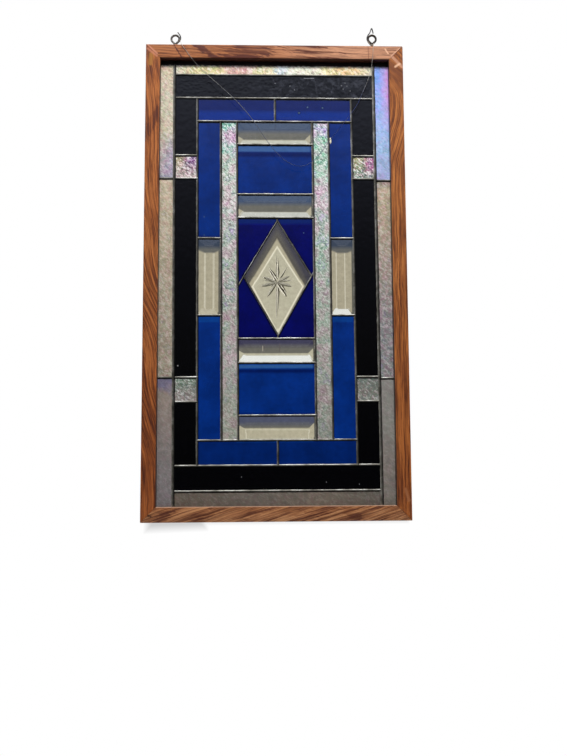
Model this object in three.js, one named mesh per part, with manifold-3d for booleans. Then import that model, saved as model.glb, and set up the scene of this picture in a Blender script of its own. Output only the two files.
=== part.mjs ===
// A leaded panel of blue, black, iridescent and bevelled glass in a mitred oak frame.
// Millimetres. X runs to the right, the front faces -Y and Z runs up.
// The origin lies midway between the centres of the two screw eyes that the window hangs from.

import * as THREE from 'three';
import { ConvexGeometry } from 'three/addons/geometries/ConvexGeometry.js';
import { mergeVertices } from 'three/addons/utils/BufferGeometryUtils.js';
import Module from 'manifold-3d';

const wasm = await Module();
wasm.setup();

// Clearances between pieces
const CLEARANCE = 0.3;
const PANEL_PLAY = 0.5;

// Oak rails
const RAIL_FACE = 24;
const RAIL_DEPTH = 24;
const GROOVE_WIDTH = 6.35;
const GROOVE_DEPTH = 6;

// Glass and solder
const SHEET = 3;
const SEAM_GAP = 1.4;
const BEAD_WIDTH = 4.4;
const BEAD_CREST = 2.2;
const BEAD_RISE = 0.9;
const BEVEL_FACE = 12.7;
const BEVEL_PROUD = 2;

// Columns, from seam to seam, outwards from the middle
const CENTRE_COLUMN = 127.8;
const STRIP_COLUMN = 26.9;
const BLUE_COLUMN = 39.7;
const BLACK_COLUMN = 38.6;
const SIDE_BORDER = 23.9;

// Rows, from seam to seam, the borders as far as the frame shows them
const END_BORDER = 23.15;
const BLACK_ROW = 40.8;
const BLUE_ROW = 40.8;
const BEVEL_ROW = 40;
const BLUE_FIELD = 86.4;
const STAR_FIELD = 203.7;

// Cuts across the side columns
const UPPER_SIDE_BLACK = 100.3;
const LOWER_SIDE_BLACK = 103.5;
const SQUARE = 40;
const RIGHT_BORDER_CUT_DROP = 2.3;
const SIDE_BEVEL = 129.7;
const SIDE_BEVEL_RISE = 1.8;
const BLUE_ROW_CUT = 0.8;

// The hand-built panel leans: its upright seams drift to the right on their way down.
const LEAN = 3.2;
const LEAN_SHIFT = 0.4;

// Diamond and its cut star, with what is left beside the field's seams
const DIAMOND_SIDE_GAP = 7.4;
const DIAMOND_TIP_GAP = 4.35;
const DIAMOND_SHIFT = 2.9;
const DIAMOND_CORNER_RISE = 2.7;
const STAR_SHIFT = 0.4;
const STAR_DROP = 5;
const STAR_UP = 40;
const STAR_DOWN = 54;
const STAR_SIDE = 25;
const STAR_SLANT = 28;
const STAR_SLANT_ANGLE = THREE.MathUtils.degToRad(56);
const STAR_RAY_WIDTH = 5;
const STAR_RAY_DEPTH = 1.1;
const STAR_RAY_SHOULDER = 0.35;

// Screw eyes
const EYE_RADIUS = 6.8;
const EYE_WIRE = 2.7;
const EYE_THREAD = 16;
const LEFT_EYE_INSET = 47.1;
const LEFT_EYE_RISE = 17.4;
const RIGHT_EYE_INSET = 49.9;
const RIGHT_EYE_RISE = 20.6;

// Hanging line
const LINE_DIAMETER = 0.8;
const LINE_SIDES = 8;
const LINE_STEPS = 79;
const KNOT_WRAP = 1;

// Sizes that follow from those above
const openingHalfWidth = CENTRE_COLUMN / 2 + STRIP_COLUMN + BLUE_COLUMN + BLACK_COLUMN + SIDE_BORDER;
const openingHeight = 2 * (END_BORDER + BLACK_ROW + BLUE_ROW + 2 * BEVEL_ROW + BLUE_FIELD) + STAR_FIELD;
const frameHalfWidth = openingHalfWidth + RAIL_FACE;
const frameHeight = openingHeight + 2 * RAIL_FACE;
const frontFace = -RAIL_DEPTH / 2;
const openingTop = -RAIL_FACE;
const openingBottom = RAIL_FACE - frameHeight;
const panelReach = GROOVE_DEPTH - PANEL_PLAY;
const panelHalfWidth = openingHalfWidth + panelReach;
const panelTop = openingTop + panelReach;
const panelBottom = openingBottom - panelReach;
const middle = -frameHeight / 2;

const x1 = CENTRE_COLUMN / 2;
const x2 = x1 + STRIP_COLUMN;
const x3 = x2 + BLUE_COLUMN;
const x4 = x3 + BLACK_COLUMN;

const blackTop = openingTop - END_BORDER;
const blueTop = blackTop - BLACK_ROW;
const centreTop = blueTop - BLUE_ROW;
const blueFieldTop = centreTop - BEVEL_ROW;
const blueFieldTopEnd = blueFieldTop - BLUE_FIELD;
const starTop = blueFieldTopEnd - BEVEL_ROW;
const starBottom = starTop - STAR_FIELD;
const blueFieldBottom = starBottom - BEVEL_ROW;
const blueFieldBottomEnd = blueFieldBottom - BLUE_FIELD;
const centreBottom = blueFieldBottomEnd - BEVEL_ROW;
const blueBottom = centreBottom - BLUE_ROW;
const blackBottom = blueBottom - BLACK_ROW;

const upperSquareTop = blueTop - UPPER_SIDE_BLACK;
const upperSquareBottom = upperSquareTop - SQUARE;
const lowerSquareBottom = blueBottom + LOWER_SIDE_BLACK;
const lowerSquareTop = lowerSquareBottom + SQUARE;
const sideBevelTop = middle + SIDE_BEVEL_RISE + SIDE_BEVEL / 2;
const sideBevelBottom = sideBevelTop - SIDE_BEVEL;

const leftEye = { x: LEFT_EYE_INSET - frameHalfWidth, rise: LEFT_EYE_RISE };
const rightEye = { x: frameHalfWidth - RIGHT_EYE_INSET, rise: RIGHT_EYE_RISE };

const OAK = { color: 0xa5653a, roughness: 0.5, metalness: 0 };
const BLACK_GLASS = { color: 0x0c0d12, roughness: 0.1, metalness: 0 };
const BLUE_GLASS = { color: 0x173689, roughness: 0.08, metalness: 0 };
const INDIGO_GLASS = { color: 0x0a0b58, roughness: 0.08, metalness: 0 };
const PEARL_GLASS = { color: 0xcdc5bd, roughness: 0.25, metalness: 0 };
const CLEAR_GLASS = { color: 0xd5d2c2, roughness: 0.03, metalness: 0 };
const SOLDER = { color: 0x6c6d68, roughness: 0.4, metalness: 0.9 };
const DARK_STEEL = { color: 0x3a3530, roughness: 0.45, metalness: 0.85 };
const CLEAR_LINE = { color: 0xb9bcbc, roughness: 0.25, metalness: 0 };

const stainedGlassWindow = new THREE.Group();
const eyeLevel = (leftEye.rise + rightEye.rise) / 2;
const eyeMiddle = (leftEye.x + rightEye.x) / 2;
stainedGlassWindow.position.set(-eyeMiddle, 0, -eyeLevel);

function addPiece(name, geometry, finish) {
  const mesh = new THREE.Mesh(geometry, new THREE.MeshStandardMaterial(finish));
  mesh.name = name;
  stainedGlassWindow.add(mesh);
}

function toSolid(geometry) {
  const bare = geometry.clone();
  bare.deleteAttribute('normal');
  bare.deleteAttribute('uv');
  const merged = mergeVertices(bare, 1e-5);
  const vertProperties = Float32Array.from(merged.attributes.position.array);
  const triVerts = Uint32Array.from(merged.index.array);
  return new wasm.Manifold(new wasm.Mesh({ numProp: 3, vertProperties, triVerts }));
}

function toGeometry(solid) {
  const { vertProperties, triVerts } = solid.getMesh();
  const geometry = new THREE.BufferGeometry();
  geometry.setAttribute('position', new THREE.BufferAttribute(vertProperties, 3));
  geometry.setIndex(new THREE.BufferAttribute(triVerts, 1));
  geometry.computeVertexNormals();
  return geometry;
}

function joined(solids) {
  return solids.reduce((whole, solid) => whole.add(solid));
}

// A flat shape in the window's plane, given as points (x, z), made thick from yFront to yBack.
function slab(points, yFront, yBack) {
  const geometry = new THREE.ExtrudeGeometry(new THREE.Shape(points), {
    depth: yBack - yFront,
    bevelEnabled: false,
  });
  geometry.rotateX(Math.PI / 2);
  geometry.translate(0, yBack, 0);
  return geometry;
}

function rectangle(left, right, bottom, top) {
  return [
    new THREE.Vector2(left, bottom),
    new THREE.Vector2(right, bottom),
    new THREE.Vector2(right, top),
    new THREE.Vector2(left, top),
  ];
}

// Where two lines meet, each given by a point and a direction
function crossing(p, d, q, e) {
  const along = new THREE.Vector2().subVectors(q, p).cross(e) / d.cross(e);
  return d.clone().multiplyScalar(along).add(p);
}

// The outline moved inwards by the same distance on every side
function inset(points, distance) {
  const turned = THREE.ShapeUtils.area(points) > 0 ? 1 : -1;
  const sides = points.map((point, i) => {
    const next = points[(i + 1) % points.length];
    const along = new THREE.Vector2().subVectors(next, point).normalize();
    const inwards = new THREE.Vector2(-along.y, along.x).multiplyScalar(turned * distance);
    return { start: point.clone().add(inwards), along };
  });
  return sides.map((side, i) => {
    const before = sides[(i + sides.length - 1) % sides.length];
    return crossing(before.start, before.along, side.start, side.along);
  });
}

// The panel's lean, which leaves its outer edges upright
function leaned(point) {
  if (Math.abs(point.x) >= panelHalfWidth) {
    return point.clone();
  }
  const drift = LEAN_SHIFT + (LEAN * (middle - point.y)) / (blackTop - blackBottom);
  return new THREE.Vector2(point.x + drift, point.y);
}

// Oak frame

// One rail lies along X with its outer edge up, centred on the frame. It is turned to its side later.
function railGeometry(halfLength, edgeHeight, pilotHoles) {
  const mitre = CLEARANCE / Math.SQRT2;
  const outline = [
    new THREE.Vector2(mitre - halfLength, edgeHeight),
    new THREE.Vector2(RAIL_FACE + mitre - halfLength, edgeHeight - RAIL_FACE),
    new THREE.Vector2(halfLength - RAIL_FACE - mitre, edgeHeight - RAIL_FACE),
    new THREE.Vector2(halfLength - mitre, edgeHeight),
  ];
  const grooveFloor = edgeHeight - RAIL_FACE + GROOVE_DEPTH;
  const groove = rectangle(-halfLength, halfLength, edgeHeight - 2 * RAIL_FACE, grooveFloor);
  const body = toSolid(slab(outline, -RAIL_DEPTH / 2, RAIL_DEPTH / 2));
  const cut = toSolid(slab(groove, -GROOVE_WIDTH / 2, GROOVE_WIDTH / 2));
  return toGeometry(pilotHoles.reduce((rail, hole) => rail.subtract(hole), body.subtract(cut)));
}

// The hole that a screw eye is driven into, from the top of the rail
function pilotHole(eye) {
  const depth = EYE_THREAD + CLEARANCE;
  const radius = EYE_WIRE / 2 + CLEARANCE;
  const geometry = new THREE.CylinderGeometry(radius, radius, depth * 2, 12);
  geometry.rotateX(Math.PI / 2);
  geometry.translate(eye.x, 0, frameHeight / 2);
  return toSolid(geometry);
}

function addRails() {
  const halfHeight = frameHeight / 2;
  const rails = [
    ['top_rail', frameHalfWidth, halfHeight, 0, [pilotHole(leftEye), pilotHole(rightEye)]],
    ['bottom_rail', frameHalfWidth, halfHeight, Math.PI, []],
    ['left_stile', halfHeight, frameHalfWidth, -Math.PI / 2, []],
    ['right_stile', halfHeight, frameHalfWidth, Math.PI / 2, []],
  ];
  for (const [name, halfLength, edgeHeight, turn, holes] of rails) {
    const geometry = railGeometry(halfLength, edgeHeight, holes);
    geometry.rotateY(turn);
    geometry.translate(0, 0, middle);
    addPiece(name, geometry, OAK);
  }
}

// Glass

function glassOutline(points) {
  return inset(points.map(leaned), SEAM_GAP / 2);
}

function addSheet(name, points, finish) {
  addPiece(name, slab(glassOutline(points), -SHEET / 2, SHEET / 2), finish);
}

// Clear glass, flat behind, with its front ground down to the sheet's thickness along every edge
function bevelledGeometry(outline) {
  const at = (y) => (point) => new THREE.Vector3(point.x, y, point.y);
  const table = inset(outline, BEVEL_FACE);
  return new ConvexGeometry([
    ...outline.map(at(SHEET / 2)),
    ...outline.map(at(-SHEET / 2)),
    ...table.map(at(-SHEET / 2 - BEVEL_PROUD)),
  ]);
}

function addBevel(name, points) {
  addPiece(name, bevelledGeometry(glassOutline(points)), CLEAR_GLASS);
}

// A mirrored pair of pieces, left and right of the middle
function addPair(name, inner, outer, bottom, top, add) {
  add(`${name}_left`, rectangle(-outer, -inner, bottom, top));
  add(`${name}_right`, rectangle(inner, outer, bottom, top));
}

const addPearl = (name, points) => addSheet(name, points, PEARL_GLASS);
const addBlack = (name, points) => addSheet(name, points, BLACK_GLASS);
const addBlue = (name, points) => addSheet(name, points, BLUE_GLASS);
const addIndigo = (name, points) => addSheet(name, points, INDIGO_GLASS);

function addBorder() {
  addPearl('pearl_border_top', rectangle(-x4, x4, blackTop, panelTop));
  addPearl('pearl_border_bottom', rectangle(-x4, x4, panelBottom, blackBottom));
  const sides = [
    ['left', -panelHalfWidth, -x4, 0],
    ['right', x4, panelHalfWidth, RIGHT_BORDER_CUT_DROP],
  ];
  for (const [side, left, right, drop] of sides) {
    const upperCut = upperSquareBottom - drop;
    const lowerCut = lowerSquareTop - drop;
    addPearl(`pearl_border_${side}_upper`, rectangle(left, right, upperCut, panelTop));
    addPearl(`pearl_border_${side}_middle`, rectangle(left, right, lowerCut, upperCut));
    addPearl(`pearl_border_${side}_lower`, rectangle(left, right, panelBottom, lowerCut));
  }
}

function addBlackBand() {
  addBlack('black_bar_top', rectangle(-x4, x4, blueTop, blackTop));
  addBlack('black_bar_bottom', rectangle(-x4, x4, blackBottom, blueBottom));
  addPair('black_upper', x3, x4, upperSquareTop, blueTop, addBlack);
  addPair('black_middle', x3, x4, lowerSquareTop, upperSquareBottom, addBlack);
  addPair('black_lower', x3, x4, blueBottom, lowerSquareBottom, addBlack);
  addPair('pearl_square_upper', x3, x4, upperSquareBottom, upperSquareTop, addPearl);
  addPair('pearl_square_lower', x3, x4, lowerSquareBottom, lowerSquareTop, addPearl);
}

function addBlueBand() {
  addBlue('blue_bar_top_left', rectangle(-x3, BLUE_ROW_CUT, centreTop, blueTop));
  addBlue('blue_bar_top_right', rectangle(BLUE_ROW_CUT, x3, centreTop, blueTop));
  addBlue('blue_bar_bottom_left', rectangle(-x3, BLUE_ROW_CUT, blueBottom, centreBottom));
  addBlue('blue_bar_bottom_right', rectangle(BLUE_ROW_CUT, x3, blueBottom, centreBottom));
  addPair('blue_side_upper', x2, x3, sideBevelTop, centreTop, addBlue);
  addPair('blue_side_lower', x2, x3, centreBottom, sideBevelBottom, addBlue);
  addPair('side_bevel', x2, x3, sideBevelBottom, sideBevelTop, addBevel);
  addPair('pearl_strip', x1, x2, centreBottom, centreTop, addPearl);
}

function addCentreColumn() {
  addBevel('bevel_1', rectangle(-x1, x1, blueFieldTop, centreTop));
  addBlue('blue_field_top', rectangle(-x1, x1, blueFieldTopEnd, blueFieldTop));
  addBevel('bevel_2', rectangle(-x1, x1, starTop, blueFieldTopEnd));
  addBevel('bevel_3', rectangle(-x1, x1, blueFieldBottom, starBottom));
  addBlue('blue_field_bottom', rectangle(-x1, x1, blueFieldBottomEnd, blueFieldBottom));
  addBevel('bevel_4', rectangle(-x1, x1, centreBottom, blueFieldBottomEnd));
}

// Corners of the diamond, and where two of its sides run on to the column's seams
const diamondHalfWidth = x1 - DIAMOND_SIDE_GAP;
const cornerLevel = middle + DIAMOND_CORNER_RISE;
const diamondTop = new THREE.Vector2(DIAMOND_SHIFT, starTop - DIAMOND_TIP_GAP);
const diamondBottom = new THREE.Vector2(DIAMOND_SHIFT, starBottom + DIAMOND_TIP_GAP);
const diamondLeft = new THREE.Vector2(DIAMOND_SHIFT - diamondHalfWidth, cornerLevel);
const diamondRight = new THREE.Vector2(DIAMOND_SHIFT + diamondHalfWidth, cornerLevel);
const upwards = new THREE.Vector2(0, 1);
const leftRunOut = crossing(
  diamondTop,
  new THREE.Vector2().subVectors(diamondLeft, diamondTop),
  new THREE.Vector2(-x1, 0),
  upwards,
);
const rightRunOut = crossing(
  diamondBottom,
  new THREE.Vector2().subVectors(diamondRight, diamondBottom),
  new THREE.Vector2(x1, 0),
  upwards,
);
const starTopMiddle = new THREE.Vector2(DIAMOND_SHIFT, starTop);
const starBottomMiddle = new THREE.Vector2(DIAMOND_SHIFT, starBottom);

function addStarField() {
  const corner = (x, z) => new THREE.Vector2(x, z);
  addIndigo('indigo_upper_left', [
    leftRunOut, diamondTop, starTopMiddle, corner(-x1, starTop),
  ]);
  addIndigo('indigo_upper_right', [
    starTopMiddle, diamondTop, diamondRight, rightRunOut, corner(x1, starTop),
  ]);
  addIndigo('indigo_lower_right', [
    rightRunOut, diamondBottom, starBottomMiddle, corner(x1, starBottom),
  ]);
  addIndigo('indigo_lower_left', [
    starBottomMiddle, diamondBottom, diamondLeft, leftRunOut, corner(-x1, starBottom),
  ]);
}

// One ray of the star, a shallow pyramid that is cut out of the diamond's front
function starRay(centre, angle, length) {
  const surface = -SHEET / 2 - BEVEL_PROUD;
  const clear = STAR_RAY_DEPTH;
  const spread = (STAR_RAY_WIDTH / 2) * (1 + clear / STAR_RAY_DEPTH);
  const shoulder = length * STAR_RAY_SHOULDER;
  const overTip = (length - shoulder) * (clear / STAR_RAY_DEPTH);
  const overRoot = shoulder * (clear / STAR_RAY_DEPTH);
  const alongX = Math.cos(angle);
  const alongZ = Math.sin(angle);
  const at = (along, across, depth) => new THREE.Vector3(
    centre.x + along * alongX - across * alongZ,
    surface + depth,
    centre.y + along * alongZ + across * alongX,
  );
  return toSolid(new ConvexGeometry([
    at(-overRoot, 0, -clear),
    at(shoulder, spread, -clear),
    at(shoulder, -spread, -clear),
    at(length + overTip, 0, -clear),
    at(shoulder, 0, STAR_RAY_DEPTH),
  ]));
}

function addDiamond() {
  const outline = glassOutline([diamondTop, diamondLeft, diamondBottom, diamondRight]);
  const centre = leaned(new THREE.Vector2(DIAMOND_SHIFT + STAR_SHIFT, middle - STAR_DROP));
  const quarter = Math.PI / 2;
  const rays = [
    [quarter, STAR_UP],
    [-quarter, STAR_DOWN],
    [0, STAR_SIDE],
    [2 * quarter, STAR_SIDE],
    [STAR_SLANT_ANGLE, STAR_SLANT],
    [-STAR_SLANT_ANGLE, STAR_SLANT],
    [2 * quarter - STAR_SLANT_ANGLE, STAR_SLANT],
    [2 * quarter + STAR_SLANT_ANGLE, STAR_SLANT],
  ];
  const plain = toSolid(bevelledGeometry(outline));
  const cut = rays.reduce((glass, [angle, length]) => glass.subtract(starRay(centre, angle, length)), plain);
  addPiece('star_diamond', toGeometry(cut), CLEAR_GLASS);
}

// Solder

// The seam's section: a low bead in front and behind, joined through the gap between the panes
function beadSection() {
  const web = SEAM_GAP / 2 - CLEARANCE;
  const foot = SHEET / 2 + CLEARANCE;
  const crest = foot + BEAD_RISE;
  const side = [
    [web, -foot], [BEAD_WIDTH / 2, -foot], [BEAD_CREST / 2, -crest],
  ];
  const right = [...side.map(([u, v]) => [u, -v]).reverse(), ...side];
  const left = right.map(([u, v]) => [-u, -v]);
  return new THREE.Shape([...right, ...left].map(([u, v]) => new THREE.Vector2(u, v)));
}

function seam(from, to) {
  const start = leaned(from);
  const end = leaned(to);
  const along = new THREE.Vector3(end.x - start.x, 0, end.y - start.y);
  const geometry = new THREE.ExtrudeGeometry(beadSection(), { depth: along.length(), bevelEnabled: false });
  along.normalize();
  const depthwards = new THREE.Vector3(0, 1, 0);
  const across = new THREE.Vector3().crossVectors(depthwards, along);
  const place = new THREE.Matrix4().makeBasis(across, depthwards, along);
  place.setPosition(start.x, 0, start.y);
  geometry.applyMatrix4(place);
  return toSolid(geometry);
}

function upright(x, bottom, top) {
  return seam(new THREE.Vector2(x, bottom), new THREE.Vector2(x, top));
}

function level(z, left, right) {
  return seam(new THREE.Vector2(left, z), new THREE.Vector2(right, z));
}

// A seam that ends on another one stops a little past the middle of it.
function addSolder() {
  const seams = [
    level(blackTop, -x4, x4),
    level(blueTop, -x4, x4),
    level(blueBottom, -x4, x4),
    level(blackBottom, -x4, x4),
    level(centreTop, -x3, x3),
    level(centreBottom, -x3, x3),
    upright(BLUE_ROW_CUT, centreTop, blueTop),
    upright(BLUE_ROW_CUT, blueBottom, centreBottom),
  ];
  for (const side of [-1, 1]) {
    seams.push(upright(side * x4, panelBottom, panelTop));
    seams.push(upright(side * x3, blueBottom, blueTop));
    seams.push(upright(side * x2, centreBottom, centreTop));
    seams.push(upright(side * x1, centreBottom, centreTop));
    const drop = side > 0 ? RIGHT_BORDER_CUT_DROP : 0;
    for (const z of [upperSquareBottom - drop, lowerSquareTop - drop]) {
      seams.push(level(z, side * x4, side * panelHalfWidth));
    }
    for (const z of [upperSquareTop, upperSquareBottom, lowerSquareTop, lowerSquareBottom]) {
      seams.push(level(z, side * x3, side * x4));
    }
    for (const z of [sideBevelTop, sideBevelBottom]) {
      seams.push(level(z, side * x2, side * x3));
    }
  }
  const centreLevels = [
    blueFieldTop, blueFieldTopEnd, starTop, starBottom, blueFieldBottom, blueFieldBottomEnd,
  ];
  for (const z of centreLevels) {
    seams.push(level(z, -x1, x1));
  }
  seams.push(seam(leftRunOut, diamondTop));
  seams.push(seam(rightRunOut, diamondBottom));
  seams.push(seam(diamondTop, diamondRight));
  seams.push(seam(diamondBottom, diamondLeft));
  seams.push(upright(DIAMOND_SHIFT, diamondTop.y - BEAD_WIDTH / 4, starTop));
  seams.push(upright(DIAMOND_SHIFT, starBottom, diamondBottom.y + BEAD_WIDTH / 4));
  addPiece('solder_seams', toGeometry(joined(seams)), SOLDER);
}

// Screw eyes, hanging line and knots

function disc(radius, sides) {
  const points = Array.from({ length: sides }, (_, i) => {
    const turn = (2 * Math.PI * (i + 0.5)) / sides;
    return new THREE.Vector2(radius * Math.cos(turn), radius * Math.sin(turn));
  });
  return new THREE.Shape(points);
}

function tube(points, diameter, steps) {
  const path = new THREE.CatmullRomCurve3(points, false, 'centripetal');
  return new THREE.ExtrudeGeometry(disc(diameter / 2, LINE_SIDES), {
    steps,
    extrudePath: path,
    bevelEnabled: false,
  });
}

// The eye is a ring that narrows to a point, where both legs meet the shank.
function addEye(name, eye) {
  const legEnd = 1.5;
  const turns = 16;
  const firstTurn = -Math.PI / 4;
  const lastTurn = (5 * Math.PI) / 4;
  const tip = -EYE_RADIUS * Math.SQRT2;
  const legFoot = tip + legEnd / Math.SQRT2;
  const points = [new THREE.Vector3(legEnd / Math.SQRT2, 0, legFoot)];
  for (let i = 0; i <= turns; i += 1) {
    const turn = firstTurn + ((lastTurn - firstTurn) * i) / turns;
    points.push(new THREE.Vector3(EYE_RADIUS * Math.cos(turn), 0, EYE_RADIUS * Math.sin(turn)));
  }
  points.push(new THREE.Vector3(-legEnd / Math.SQRT2, 0, legFoot));
  const ring = tube(points, EYE_WIRE, 36);
  const shankTop = tip + EYE_WIRE;
  const shankBottom = -eye.rise - EYE_THREAD;
  const point = EYE_WIRE;
  const profile = [
    new THREE.Vector2(0, shankBottom),
    new THREE.Vector2(EYE_WIRE / 2, shankBottom + point),
    new THREE.Vector2(EYE_WIRE / 2, shankTop - EYE_WIRE / 4),
    new THREE.Vector2(0, shankTop),
  ];
  const shank = new THREE.LatheGeometry(profile, 10);
  shank.rotateX(Math.PI / 2);
  const geometry = toGeometry(joined([toSolid(ring), toSolid(shank)]));
  geometry.translate(eye.x, 0, eye.rise);
  addPiece(name, geometry, DARK_STEEL);
}

// The line hangs slack in front of the panel, from one eye to the other. The first and last
// points lie at the knots, and all others in a plane just in front of the rails.
const linePlane = frontFace - CLEARANCE - LINE_DIAMETER / 2;
const LINE_ROUTE = [
  [-161.6, -2.5, 13.5],
  [-160.6, -7.6, 10.2],
  [-159.0, -12.2, 4.8],
  [-157.0, linePlane - CLEARANCE, -0.8],
  [-149.0, linePlane, -12.3],
  [-139.0, linePlane, -26.2],
  [-128.4, linePlane, -38.8],
  [-113.4, linePlane, -53.6],
  [-92.4, linePlane, -72.6],
  [-70.0, linePlane, -93.6],
  [-51.0, linePlane, -114.4],
  [-35.8, linePlane, -134.0],
  [-22.6, linePlane, -154.4],
  [-9.4, linePlane, -173.8],
  [6.0, linePlane, -192.0],
  [24.0, linePlane, -206.0],
  [42.7, linePlane, -210.7],
  [60.0, linePlane, -204.0],
  [76.0, linePlane, -187.6],
  [91.6, linePlane, -165.7],
  [107.0, linePlane, -145.8],
  [123.0, linePlane, -125.2],
  [139.0, linePlane, -101.6],
  [148.7, linePlane, -79.3],
  [156.6, linePlane, -60.6],
  [161.8, linePlane, -43.4],
  [165.2, linePlane, -23.6],
  [166.8, linePlane - CLEARANCE, -3.0],
  [167.6, -12.2, 3.8],
  [168.3, -7.6, 7.6],
  [168.4, -3.1, 8.9],
];

function addLine() {
  const points = LINE_ROUTE.map(([x, y, z]) => new THREE.Vector3(x, y, z));
  addPiece('hanging_line', tube(points, LINE_DIAMETER, LINE_STEPS), CLEAR_LINE);
}

// A few tight turns of line round the eye's wire, as one collar, with a stiff loose end
function addKnot(name, eye, angle, tilt, tail) {
  const inner = EYE_WIRE / 2 + CLEARANCE;
  const outer = inner + KNOT_WRAP;
  const half = LINE_DIAMETER;
  const profile = [
    new THREE.Vector2(inner, -half),
    new THREE.Vector2(outer, -half),
    new THREE.Vector2(outer + CLEARANCE, 0),
    new THREE.Vector2(outer, half),
    new THREE.Vector2(inner, half),
    new THREE.Vector2(inner, -half),
  ];
  const collar = new THREE.LatheGeometry(profile, 10);
  collar.rotateX(Math.PI / 2);
  collar.rotateY(tilt);
  collar.translate(angle.x, 0, angle.z);
  const loose = tube(tail.map(([x, y, z]) => new THREE.Vector3(x, y, z)), LINE_DIAMETER, 16);
  const geometry = toGeometry(joined([toSolid(collar), toSolid(loose)]));
  geometry.translate(eye.x, 0, eye.rise);
  addPiece(name, geometry, CLEAR_LINE);
}

function addKnots() {
  const leftTurn = THREE.MathUtils.degToRad(-25);
  const leftPlace = { x: EYE_RADIUS * Math.cos(leftTurn), z: EYE_RADIUS * Math.sin(leftTurn) };
  addKnot('line_knot_left', leftEye, leftPlace, -leftTurn, [
    [8.3, -1.2, -3.0],
    [9.2, -1.9, -0.4],
    [9.0, -2.1, 3.2],
    [7.4, -2.1, 6.6],
    [4.4, -1.4, 10.8],
  ]);
  const rightPlace = { x: 0, z: -EYE_RADIUS * Math.SQRT2 - 2 };
  addKnot('line_knot_right', rightEye, rightPlace, 0, [
    [-2.0, -0.8, -11.4],
    [-4.0, -1.9, -10.2],
    [-7.2, -2.2, -6.2],
    [-8.9, -2.2, -0.6],
    [-7.4, -2.2, 4.8],
    [-4.0, -1.6, 10.2],
    [-2.0, -0.6, 15.4],
    [-0.9, -0.2, 18.8],
    [0.3, -0.2, 18.4],
    [1.4, -0.2, 14.2],
    [2.2, -0.2, 10.4],
  ]);
}

addRails();
addBorder();
addBlackBand();
addBlueBand();
addCentreColumn();
addStarField();
addDiamond();
addSolder();
addEye('screw_eye_left', leftEye);
addEye('screw_eye_right', rightEye);
addLine();
addKnots();

export default stainedGlassWindow;
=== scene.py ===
# A hanging window of blue, black, pearly and bevelled glass in an oak frame.
# Metres. X runs to the right, the front faces -Y and Z runs up.

import math
import random

import bpy
from mathutils import Matrix, Vector, noise


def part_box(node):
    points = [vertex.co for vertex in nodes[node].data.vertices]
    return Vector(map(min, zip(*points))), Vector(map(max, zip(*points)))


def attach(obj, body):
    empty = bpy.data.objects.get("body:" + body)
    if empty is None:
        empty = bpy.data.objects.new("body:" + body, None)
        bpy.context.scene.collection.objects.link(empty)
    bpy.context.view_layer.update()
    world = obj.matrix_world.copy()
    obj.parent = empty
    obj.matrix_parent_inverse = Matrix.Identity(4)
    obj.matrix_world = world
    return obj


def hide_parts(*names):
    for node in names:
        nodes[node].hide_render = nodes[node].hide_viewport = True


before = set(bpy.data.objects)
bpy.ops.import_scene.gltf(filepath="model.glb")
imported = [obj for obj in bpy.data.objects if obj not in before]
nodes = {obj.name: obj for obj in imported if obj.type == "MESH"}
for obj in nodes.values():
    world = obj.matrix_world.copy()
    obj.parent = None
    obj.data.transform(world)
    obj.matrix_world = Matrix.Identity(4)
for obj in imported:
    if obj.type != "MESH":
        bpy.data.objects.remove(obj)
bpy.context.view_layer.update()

MM = 0.001
random.seed(7)


# Places taken from the solids

def low(node):
    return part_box(node)[0]


def high(node):
    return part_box(node)[1]


def seam_height(upper, lower):
    return (low(upper).z + high(lower).z) / 2


def seam_side(left, right):
    return (high(left).x + low(right).x) / 2


FRAME_LEFT = low("left_stile").x
FRAME_RIGHT = high("right_stile").x
FRAME_TOP = high("top_rail").z
FRAME_BOTTOM = low("bottom_rail").z
FRAME_FRONT = low("top_rail").y
FRAME_BACK = high("top_rail").y
RAIL = high("left_stile").x - FRAME_LEFT
MIDDLE_X = (FRAME_LEFT + FRAME_RIGHT) / 2
MIDDLE_Z = (FRAME_TOP + FRAME_BOTTOM) / 2
GLASS_FRONT = low("black_bar_top").y
GLASS_BACK = high("black_bar_top").y

# The panel leans: its upright seams drift to the right on their way down.
LEAN_SHIFT = 0.4 * MM
LEAN = 3.2 / 699.7


def lean(z):
    return LEAN_SHIFT + LEAN * (MIDDLE_Z - z)


# Camera

CAMERA_PLACE = (-0.00716, -0.9302, -0.6493)
CAMERA_TURN = (94.099, 0.288, -1.241)
FOCAL_PIXELS = 568
LONG_SIDE_PIXELS = 756

bpy.ops.object.camera_add(location=CAMERA_PLACE, rotation=[math.radians(a) for a in CAMERA_TURN])
camera = bpy.context.object
camera.data.sensor_width = 36
camera.data.lens = camera.data.sensor_width * FOCAL_PIXELS / LONG_SIDE_PIXELS
camera.data.clip_start = 0.05
bpy.context.scene.camera = camera


# Small tools for shaping

def only(piece):
    bpy.ops.object.select_all(action="DESELECT")
    piece.select_set(True)
    bpy.context.view_layer.objects.active = piece


def apply_modifier(piece, kind, **values):
    only(piece)
    bpy.ops.object.modifier_add(type=kind)
    modifier = piece.modifiers[-1]
    for name, value in values.items():
        setattr(modifier, name, value)
    bpy.ops.object.modifier_apply(modifier=modifier.name)


def select_edges(piece, wanted):
    """Leaves only the edges selected whose two ends and direction please wanted, in edit mode."""
    only(piece)
    bpy.ops.object.mode_set(mode="EDIT")
    bpy.ops.mesh.select_mode(type="EDGE")
    bpy.ops.mesh.select_all(action="DESELECT")
    bpy.ops.object.mode_set(mode="OBJECT")
    places = [v.co for v in piece.data.vertices]
    for edge in piece.data.edges:
        edge.select = wanted(*[places[i] for i in edge.vertices])
    bpy.ops.object.mode_set(mode="EDIT")


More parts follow.
